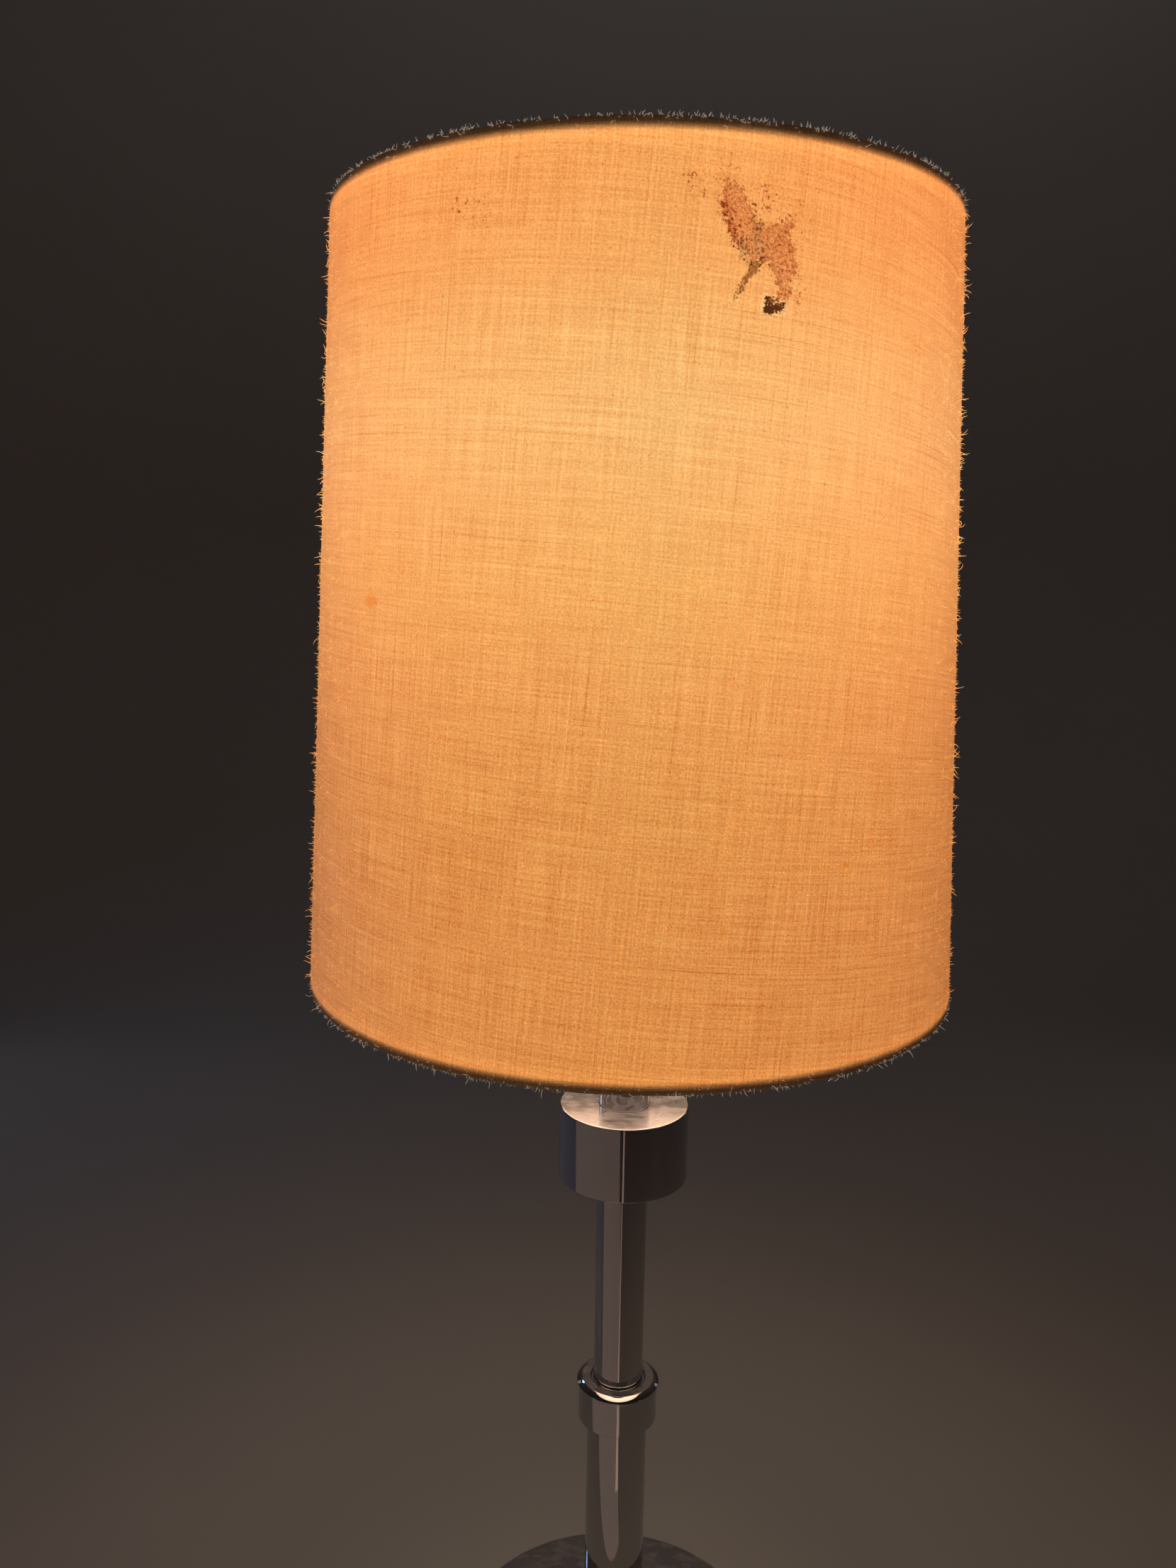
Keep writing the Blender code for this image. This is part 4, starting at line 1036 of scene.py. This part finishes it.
def build_felt(material):
    low, high, radius = span("base_felt")
    outline = rounded((0, low), (radius, low, 0.4), (radius, high, 0.4), (0, high))

    def frayed(angle, z):
        return 0.12 * MM * sin(47 * angle) * sin(23 * angle + 2)

    dress(lathe("base_felt_pad", outline, 360, frayed), "stand", "base_felt", material, "base_felt")


def build_base_cover(material):
    """A pressed dish: upright rim with a rolled-in foot, round shoulder, gently crowned top."""
    low, high, radius = span("base_cover")
    wall = TUBE_WALL
    shoulder = 4.0 * MM
    seat = 28.0 * MM
    shoulder_z = high - 2.0 * MM - shoulder
    outer = [(radius - wall, low)] + arc((radius - 0.5 * wall, low + 0.5 * wall), 0.5 * wall, -90, 0, 4)
    outer += arc((radius - shoulder, shoulder_z), shoulder, 0, 88, 12)
    rim_r, rim_z = outer[-1]
    crown = []
    for step in range(1, 12):
        share = step / 12
        crown.append((rim_r + (seat - rim_r) * share, rim_z + (high - rim_z) * sin(share * pi / 2)))
    outer += crown + [(seat, high), (PIPE_HOLE, high)]
    inner = [(PIPE_HOLE, high - wall), (seat, high - wall)]
    inner += [(r, z - wall) for r, z in crown[::-1]]
    inner += arc((radius - shoulder, shoulder_z), shoulder - wall, 88, 0, 8)
    cover = lathe("base_cover_chrome", outer + inner, 256)
    dress(cover, "stand", "chrome_base", material, "base_cover")


def build_flange(material):
    low, high, radius = span("base_flange")
    neck = 19.0 * MM
    step = low + 3.5 * MM
    floor = low + 3 * MM
    hollow = radius - neck - 1.5 * MM
    bore = socket_for("lower_tube")
    outline = rounded((PIPE_HOLE, low), (radius, low, 0.3), (radius, step, 0.6), (neck + hollow, step))
    outline += arc((neck + hollow, step + hollow), hollow, 268, 182, 12)
    outline += rounded((neck, step + hollow), (neck, high, 0.5), (bore, high, 0.2), (bore, floor))
    outline += [(PIPE_HOLE, floor)]
    dress(lathe("base_flange_chrome", outline), "stand", "chrome_base", material, "base_flange")


def build_tube(node, material):
    low, high, radius = span(node)
    inner = radius - TUBE_WALL
    ease = 0.3
    corners = [(inner, low, ease), (radius, low, ease), (radius, high, ease), (inner, high, ease)]
    dress(lathe(node + "_chrome", rounded(*corners, steps=4)), "stand", "chrome_stem", material, node)


def build_lower_collar(material):
    """A cup over the lower tube: a bevelled lip, and a shallow recess round the upper tube."""
    low, high, lip = span("lower_collar")
    body = 20.3 * MM
    lip_low, under = high - 3.4 * MM, 0.5 * MM
    bevel = chained_arcs((lip, high - 2.55 * MM), (0.9 * MM, 0, 45), (12 * MM, 45, 59), (0.7 * MM, 59, 88))
    socket = socket_for("lower_tube")
    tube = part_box("upper_tube")[1].x
    recess, recess_floor = tube + 1.3 * MM, high - 1.6 * MM
    floor = low + 3 * MM
    outline = [(PIPE_HOLE, floor)]
    outline += rounded((socket, floor), (socket, low, 0.2), (body, low, 0.4), (body, lip_low))
    outline += arc((lip - under, lip_low + under), under, -80, 0, 6)
    outline += bevel
    outline += rounded(
        (bevel[-1][0] - 0.1 * MM, high),
        (recess, high, 0.6),
        (recess, recess_floor, 0.4),
        (tube + 0.15 * MM, recess_floor),
        (tube + 0.15 * MM, high - 10 * MM),
        (PIPE_HOLE, high - 10 * MM),
        steps=8,
    )
    dress(lathe("lower_collar_chrome", outline), "stand", "chrome_stem", material, "lower_collar")


def build_upper_collar(material):
    low, high, radius = span("upper_collar")
    seat = socket_for("neck_tube")
    inner = radius - 1.5 * MM
    outline = rounded(
        (inner, low, 0.3),
        (radius, low, 0.5),
        (radius, high, 0.8),
        (seat, high, 0.2),
        (seat, high - 1 * MM),
        (PIPE_HOLE, high - 1 * MM),
        (PIPE_HOLE, high - 2.5 * MM),
        (inner, high - 2.5 * MM),
        steps=8,
    )
    dress(lathe("upper_collar_chrome", outline, 256), "stand", "chrome_stem", material, "upper_collar")


def build_collar_plate(material):
    low, high, radius = span("upper_collar_plate")
    seat = socket_for("upper_tube")
    outline = rounded(
        (seat, low, 0.2),
        (radius, low, 0.3),
        (radius, high, 0.3),
        (PIPE_HOLE, high),
        (PIPE_HOLE, low + 1 * MM),
        (seat, low + 1 * MM),
    )
    dress(lathe("collar_plate_chrome", outline), "stand", "chrome_stem", material, "upper_collar_plate")


def build_neck_cap(material):
    low, high, radius = span("neck_cap")
    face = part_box("neck_tube")[1].z + 0.3 * MM
    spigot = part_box("neck_tube")[1].x - TUBE_WALL - 0.3 * MM
    outline = rounded(
        (PIPE_HOLE, low),
        (spigot, low, 0.3),
        (spigot, face),
        (radius, face, 0.4),
        (radius, high, 1.2),
        (PIPE_HOLE, high, 0.3),
    )
    dress(lathe("neck_cap_chrome", outline), "stand", "chrome_stem", material, "neck_cap")


def build_bushing(material):
    low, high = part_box("cord_bushing")
    centre_z = (low.z + high.z) / 2
    radius = (high.z - low.z) / 2
    length = high.y - low.y
    bore, shank, flange = 3.4 * MM, 4.5 * MM, length - 1.8 * MM
    outline = rounded(
        (bore, 0, 0.3),
        (shank, 0, 0.4),
        (shank, flange),
        (radius, flange, 0.2),
        (radius, length, 1.0),
        (bore, length, 0.8),
    )
    bushing = lathe("cord_bushing_rubber", outline, SMALL)
    bushing.data.transform(Matrix.Translation((0, low.y, centre_z)) @ Matrix.Rotation(-pi / 2, 4, "X"))
    dress(bushing, "stand", "black_plastic", material, "cord_bushing")


# Harp, fitter and finial

HARP_WIRE = 1.8 * MM
HARP_LEG_X = 30.6 * MM
LEG_TOP = 566 * MM  # height at which the straight legs end
WIDEST = 645 * MM  # height at which the loop is widest


def harp_path():
    """The wire loop: up one leg, out over the bulb, across the top and down the other side."""
    low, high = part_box("harp")
    top = high.z - HARP_WIRE
    wide = high.x - HARP_WIRE
    leg_handle, side_handle, top_handle = 12 * MM, 30 * MM, 42 * MM
    leg = [(HARP_LEG_X, z) for z in (low.z, low.z + leg_handle, LEG_TOP - side_handle, LEG_TOP)]
    side = [leg[-1], (HARP_LEG_X, LEG_TOP + side_handle), (wide, WIDEST - side_handle), (wide, WIDEST)]
    crown = [side[-1], (wide, WIDEST + side_handle), (top_handle, top), (0, top)]
    right = bezier(*leg, 8) + bezier(*side, 24) + bezier(*crown, 32)
    points = [Vector((x, 0, z)) for x, z in right]
    return points + [UP * top] + [Vector((-p.x, 0, p.z)) for p in points[::-1]]


def build_harp(material):
    loop = wire("harp_wire", harp_path(), HARP_WIRE)
    dress(loop, "harp", "harp_brass", material, "harp")
    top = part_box("harp")[1].z - HARP_WIRE
    half, hole, radius = 2.5 * MM, 2.3 * MM, 5.5 * MM
    outline = rounded((hole, -half, 0.3), (radius, -half, 1), (radius, half, 1), (hole, half, 0.3))
    dress(lathe("harp_boss", lifted(outline, top), SMALL), "harp", "harp_brass", material)


def build_sleeve(body, material):
    node = "harp_" + body
    low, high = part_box(node)
    height = high.z - low.z
    radius = (high.x - low.x) / 2
    inner = radius - 0.8 * MM
    outline = rounded(
        (inner, 0, 0.3),
        (radius, 0, 0.4),
        (radius, 0.8 * height),
        (radius - 0.3 * MM, height, 0.4),
        (inner, height, 0.2),
    )
    sleeve = lathe(node + "_brass", outline, SMALL)
    sleeve.data.transform(Matrix.Translation(((low.x + high.x) / 2, 0, low.z)))
    dress(sleeve, body, "harp_brass", material, node)


def build_stud(material):
    low, high, shoulder = span("harp_stud")
    rivet_r, shank_r, thread_r = 4.0 * MM, 2.0 * MM, 3.1 * MM
    shoulder_z = high - 11.7 * MM
    outline = rounded(
        (0, low),
        (rivet_r, low, 1),
        (rivet_r, low + 2 * MM, 0.2),
        (shank_r, low + 2 * MM),
        (shank_r, shoulder_z),
        (shoulder, shoulder_z, 0.3),
        (shoulder, shoulder_z + 1.5 * MM, 0.4),
    )
    pitch = 0.9 * MM
    start = shoulder_z + 1.6 * MM
    for turn in range(int((high - start) / pitch)):
        outline += [(thread_r - 0.35 * MM, start + turn * pitch), (thread_r, start + (turn + 0.5) * pitch)]
    outline += [(thread_r - 0.5 * MM, high), (0, high)]
    dress(lathe("harp_stud_brass", outline, SMALL), "shade", "harp_brass", material, "harp_stud")


def ring_path(radius, height):
    return [direction(tau * step / FINE) * radius + UP * height for step in range(FINE)]


def build_fitter(material):
    """Top ring, three arms and the washer that the finial clamps, soldered together."""
    ring = wire("fitter_ring", ring_path(TOP_RING_R, TOP_RING_Z), RING_WIRE, closed=True, sides=12)
    dress(ring, "shade", "fitter_brass", material, "top_fitter")
    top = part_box("top_fitter")[1].z
    thick, washer_r, hole = 1.6 * MM, 11.0 * MM, 3.4 * MM
    low = top - thick
    outline = rounded((hole, low, 0.2), (washer_r, low, 0.5), (washer_r, top, 0.5), (hole, top, 0.2))
    dress(lathe("fitter_washer", outline, SMALL), "shade", "fitter_brass", material)

    start_r, start_z = washer_r - 2 * RING_WIRE, low + thick / 2
    handle = TOP_RING_R / 4
    corners = [(start_r, start_z), (start_r + handle, start_z), (TOP_RING_R - handle, TOP_RING_Z)]
    flat = bezier(*corners, (TOP_RING_R, TOP_RING_Z), 40) + [(TOP_RING_R, TOP_RING_Z)]
    drop, rise, radius = 1.6 * MM, 1.0 * MM, 1.9 * MM
    solder = rounded((0, -drop), (radius, -drop, 1.5), (radius, rise, 1.2), (0, rise))
    for number, arm in enumerate(ARMS, 1):
        out = direction(radians(arm))
        path = [out * reach + UP * height for reach, height in flat]
        dress(wire(f"fitter_arm_{number}", path, RING_WIRE, sides=12), "shade", "fitter_brass", material)
        bead = lathe(f"solder_bead_{number}", solder, 32)
        bead.data.transform(Matrix.Translation(out * (TOP_RING_R - 1.2 * MM) + UP * TOP_RING_Z))
        dress(bead, "shade", "fitter_brass", material)


def build_bottom_ring(material):
    path = ring_path(BOTTOM_RING_R, BOTTOM_RING_Z)
    ring = wire("bottom_ring_wire", path, RING_WIRE, closed=True, sides=12)
    dress(ring, "shade", "fitter_brass", material, "bottom_ring")


def build_finial(material):
    low, high, ball = span("finial")
    hole, foot, waist, neck = 3.4 * MM, 7.0 * MM, 5.5 * MM, 4.2 * MM
    outline = rounded(
        (0, low + 9.5 * MM),
        (hole, low + 9.5 * MM),
        (hole, low, 0.2),
        (foot, low, 0.4),
        (foot, low + 2.0 * MM, 0.8),
        (waist, low + 3.2 * MM, 1.2),
        (waist, low + 13.0 * MM, 0.8),
        (neck, low + 15.5 * MM, 2.0),
        steps=6,
    )
    outline += arc((0, high - ball), ball, -60, 88, 24) + [(0, high)]
    dress(lathe("finial_chrome", outline, SMALL), "finial", "chrome_finial", material, "finial")


# Socket, key and bulb


def build_socket_cap(material):
    low, high, radius = span("socket_cap")
    hub, bore, wall = 8.2 * MM, 5.3 * MM, 0.8 * MM
    foot = low + 3.0 * MM
    bowl = radius - hub
    outline = rounded((bore, low), (hub, low, 0.4), (hub, foot))
    outline += arc((hub, foot + bowl), bowl, -88, 0, 14)
    lip = high - 1.0 * MM
    bead = radius + 0.3 * MM
    outline += [(radius, lip - 2 * MM), (bead, lip - 1 * MM), (bead, lip), (radius, high)]
    outline += [(radius - wall, high)] + arc((hub, foot + bowl), bowl - wall, 0, -88, 10)
    outline += [(hub, low + 8.5 * MM), (bore, low + 8.5 * MM)]
    dress(lathe("socket_cap_brass", outline), "stand", "socket_brass", material, "socket_cap")


def build_socket_shell(material):
    """Drawn brass shell: a bead at the mouth, and rows of shallow grooves above the cap for grip."""
    low, high, _ = span("socket_shell")
    radius, wall = 18.2 * MM, 0.5 * MM
    outline = [(radius - wall, low), (radius, low)]
    for groove in range(5):
        z = low + (9.0 + 1.6 * groove) * MM
        outline += [(radius, z - 0.5 * MM), (radius - 0.22 * MM, z), (radius, z + 0.5 * MM)]
    bead = arc((radius - 0.1 * MM, high - 1.2 * MM), 0.7 * MM, -80, 80, 8)
    outline += bead + [(radius, high - 0.1 * MM), (radius - 0.2 * MM, high), (radius - wall, high)]
    shell = lathe("socket_shell_brass", outline)
    dress(shell, "stand", "socket_brass", material, "socket_shell")


def build_key(stem_material, knob_material):
    low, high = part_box("key_stem")
    axis_z = (low.z + high.z) / 2
    radius = (high.z - low.z) / 2
    length = high.y - low.y
    lying = Matrix.Rotation(pi / 2, 4, "X")
    outline = rounded((0, 0), (radius, 0, 0.2), (radius, length, 0.3), (0, length))
    stem = lathe("key_stem_brass", outline, 48)
    stem.data.transform(Matrix.Translation((0, high.y, axis_z)) @ lying)
    dress(stem, "key", "socket_brass", stem_material, "key_stem")

    near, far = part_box("key_knob")
    knob_r = (far.z - near.z) / 2
    long = far.y - near.y
    grip = 0.97 * knob_r
    hole = radius + 0.3 * MM
    bored = 8.8 * MM
    outline = rounded(
        (0, bored),
        (hole, bored),
        (hole, 0, 0.2),
        (0.9 * knob_r, 0, 0.5),
        (grip, 0.15 * long, 0.8),
        (grip, 0.80 * long, 1.0),
        (0.84 * knob_r, long, 0.9),
        (0, long - 0.3 * MM),
        steps=6,
    )

    def flutes(angle, z):
        # eight finger grooves round the grip, none on the end faces
        on_grip = 0.6 * MM < z < long - 0.3 * MM
        return -0.05 * knob_r * (0.5 + 0.5 * cos(8 * angle)) ** 2 if on_grip else 0

    knob = lathe("key_knob_fluted", outline, 128, flutes)
    knob.data.transform(Matrix.Translation((0, far.y, axis_z)) @ lying)
    dress(knob, "key", "black_plastic", knob_material, "key_knob")


def build_bulb_glass(material):
    """A round bulb that narrows to its neck, with a thin wall."""
    low, high, radius = span("bulb_glass")
    neck, wall = 13.2 * MM, 0.8 * MM
    centre = high - radius
    join = radians(-35)
    end = Vector((radius * cos(join), centre + radius * sin(join)))
    along = Vector((-sin(join), cos(join)))
    outer = [tuple(p) for p in bezier((neck, low), (neck, low + 11 * MM), end - along * 14 * MM, end, 14)]
    outer += arc((0, centre), radius, -35, 89, 36)
    inner = []
    for r, z in outer[::-1]:
        near_top = r < 0.5 * radius and z > centre
        inner.append((max(r - wall, 0.2 * MM), z - (wall if near_top else 0)))
    dress(lathe("bulb_glass_frosted", outer + inner, 128), "bulb", "bulb_glass", material, "bulb_glass")


def build_bulb_shell(material):
    """The screw shell, with its rounded thread pressed into thin metal."""
    low, high, radius = span("bulb_screw_shell")
    pitch, depth, rows = 3.6 * MM, 0.75 * MM, 72

    def thread(angle, height):
        # the groove goes round once a pitch and fades out towards both ends
        ends = max(min(1, (height - low) / (2 * MM), (high - height) / (3 * MM)), 0)
        return -depth * (0.5 - 0.5 * cos(tau * (height - low) / pitch - angle)) * ends

    bm = bmesh.new()
    heights = [low + (high - low) * row / rows for row in range(rows + 1)]
    rings = [turned_ring(bm, radius, height, SMALL, thread) for height in heights]
    rings += [turned_ring(bm, radius - depth - 0.5 * MM, height, SMALL) for height in (high, low)]
    skin(bm, rings, closed=True)
    dress(from_bmesh("bulb_threaded_shell", bm), "bulb", "bulb_shell", material, "bulb_screw_shell")


# Assemble


def build_shade():
    """The shade's cloth, its lap, its loose fibres and its lining. The cloth's map is the cone unrolled,
    with both turned edges.
    """
    drum = build_linen_drum(linen("lit_linen"))
    lap = build_linen_lap(linen("lit_linen_double", 0.78))
    fuzz = build_fuzz(fuzz_fibre())
    build_lining(styrene())


def build_lamp():
    stem_chrome = chrome("stem_chrome", dust=0.28)
    base_chrome = chrome("base_chrome", dust=0.35)
    collar_chrome = chrome("collar_chrome", dust=0.40)
    brass = metal("lacquered_brass", (0.78, 0.55, 0.26), (0.58, 0.38, 0.16), 0.28)
    fitter = metal("fitter_brass_plate", (0.72, 0.56, 0.34), (0.50, 0.37, 0.20), 0.34)
    zinc = metal("zinc_plate", (0.56, 0.58, 0.60), (0.38, 0.39, 0.41), 0.38)
    iron = metal("cast_iron", (0.10, 0.10, 0.10), (0.04, 0.04, 0.045), 0.6)
    black = moulded("black_phenolic", (0.022, 0.020, 0.019), (0.010, 0.009, 0.009), 0.35)
    felt = moulded("green_black_felt", (0.035, 0.045, 0.038), (0.012, 0.017, 0.014), 0.95, 1400)
    card = moulded("liner_card", (0.42, 0.33, 0.22), (0.28, 0.21, 0.13), 0.8, 500)

    build_felt(felt)
    build_base_cover(base_chrome)
    build_flange(base_chrome)
    for node in ("lower_tube", "upper_tube", "neck_tube"):
        build_tube(node, stem_chrome)
    build_lower_collar(stem_chrome)
    build_upper_collar(collar_chrome)
    build_collar_plate(stem_chrome)
    build_neck_cap(stem_chrome)
    build_bushing(black)
    build_harp(brass)
    build_sleeve("sleeve_left", brass)
    build_sleeve("sleeve_right", brass)
    build_stud(brass)
    build_fitter(fitter)
    build_bottom_ring(fitter)
    build_finial(chrome("finial_chrome_plate", dust=0.3))
    build_socket_cap(brass)
    build_socket_shell(brass)
    build_key(brass, black)
    build_bulb_glass(lit_glass())
    build_bulb_shell(metal("nickel_shell", (0.66, 0.64, 0.60), (0.46, 0.44, 0.40), 0.3))
    build_shade()

    finish_node("harp_saddle", brass, 0.25 * MM)
    finish_node("base_weight", iron, 0.4 * MM)
    for node in ("base_nut", "base_lock_washer", "upper_collar_spacer", "bulb_contact"):
        finish_node(node, zinc)
    finish_node("threaded_pipe", zinc, 0)
    finish_node("socket_liner", card, 0)
    for node in ("socket_interior", "bulb_insulator"):
        finish_node(node, black)
    for node in ("socket_screw_shell", "socket_tongue", "terminal_screw_hot", "terminal_screw_neutral"):
        finish_node(node, brass, 0.08 * MM)
    finish_node("bulb_stem", lit_glass(), 0)
    finish_node("bulb_filament", hot_wire(), 0)


# Studio


def plain_pale(name, light, dark):
    g = Graph(name)
    at = g.place()
    drift = g.noise(at, 3, 3.0)
    g.surface(
        base_color=g.mix(drift, dark, light),
        roughness=0.7,
        specular_ior_level=0.2,
        normal=g.bump(g.noise(at, 350, 2.0), 0.2 * MM, 0.2),
    )
    return g.material


def build_studio():
    """A pale floor that sweeps up into a wall all round."""
    floor_r, sweep, wall_top = 1.9, 0.7, 2.6
    below = -0.2 * MM
    outline = [(0, below), (0.6, below), (floor_r - sweep, below)]
    outline += arc((floor_r - sweep, sweep), sweep, -89, 0, 24) + [(floor_r, wall_top)]
    bm = bmesh.new()
    skin(bm, [turned_ring(bm, radius, height, SMALL) for radius, height in outline], closed=False)
    studio = from_bmesh("studio", bm)
    studio.data.materials.append(plain_pale("pale_paper", grey(0.51), grey(0.47)))


def add_light(name, energy, colour, place, aim, size, twist=0.0):
    """A soft rectangular light, unseen by the camera. twist turns it about the vertical, in degrees."""
    data = bpy.data.lights.new(name, "AREA")
    data.energy = energy
    data.color = colour
    data.shape = "RECTANGLE"
    data.size, data.size_y = size
    light = bpy.data.objects.new(name, data)
    light.location = place
    facing = (Vector(aim) - Vector(place)).to_track_quat("-Z", "Y")
    light.rotation_euler = (Quaternion((0, 0, 1), radians(twist)) @ facing).to_euler()
    light.visible_camera = False
    bpy.context.scene.collection.objects.link(light)


def build_lights():
    """Dim soft light from behind and above, and panels on the floor and a window that the chrome shows."""
    world = bpy.data.worlds.new("dim_room")
    world.use_nodes = True
    background = next(node for node in world.node_tree.nodes if node.type == "BACKGROUND")
    background.inputs[0].default_value = (0.008, 0.0075, 0.0078, 1)
    background.inputs[1].default_value = 1.0
    bpy.context.scene.world = world

    warm = Vector((-0.674, -0.593, 0.004))
    strip = Vector((0.015, -0.72, 0.004))
    blue = Vector((-0.75, 0.45, 0.004))
    add_light("back_wash", 0.9, (1.0, 0.93, 0.88), (0.1, 1.2, 2.2), (0, 1.5, 0.2), (1.4, 0.6))
    add_light("warm_floor", 0.44, (1.0, 0.70, 0.58), warm, warm + UP, (1.24, 1.18), twist=-10)
    add_light("warm_strip", 0.028, (1.0, 0.62, 0.48), strip, strip + UP, (0.03, 1.1))
    add_light("blue_floor", 0.06, (0.48, 0.56, 1.0), blue, blue + UP, (0.9, 0.9))
    stem_middle = UP * 0.36
    for azimuth in (-130, -60, 60, 130):
        place = direction(radians(azimuth)) * 1.25 + stem_middle
        add_light("side_strip", 0.07, (1.0, 0.95, 0.90), place, stem_middle, (0.14, 0.52))
    add_light("blue_window", 0.32, (0.30, 0.56, 1.0), (-0.90, 0.79, 0.85), (0, 0, 0.34), (0.14, 0.16))


def build_camera():
    data = bpy.data.cameras.new("camera")
    data.lens = CAMERA_LENS
    data.clip_start = 0.01
    camera = bpy.data.objects.new("camera", data)
    forward = cos(CAMERA_PITCH)
    ahead = Vector((sin(CAMERA_YAW) * forward, cos(CAMERA_YAW) * forward, -sin(CAMERA_PITCH)))
    level = Vector((cos(CAMERA_YAW), -sin(CAMERA_YAW), 0))
    above = level.cross(ahead)
    right = level * cos(CAMERA_ROLL) + above * sin(CAMERA_ROLL)
    up = above * cos(CAMERA_ROLL) - level * sin(CAMERA_ROLL)
    camera.matrix_world = Matrix((right, up, -ahead)).transposed().to_4x4()
    camera.location = CAMERA_AT
    bpy.context.scene.collection.objects.link(camera)
    bpy.context.scene.camera = camera


bpy.context.scene.view_settings.view_transform = "Standard"
build_camera()
build_lamp()
build_studio()
build_lights()
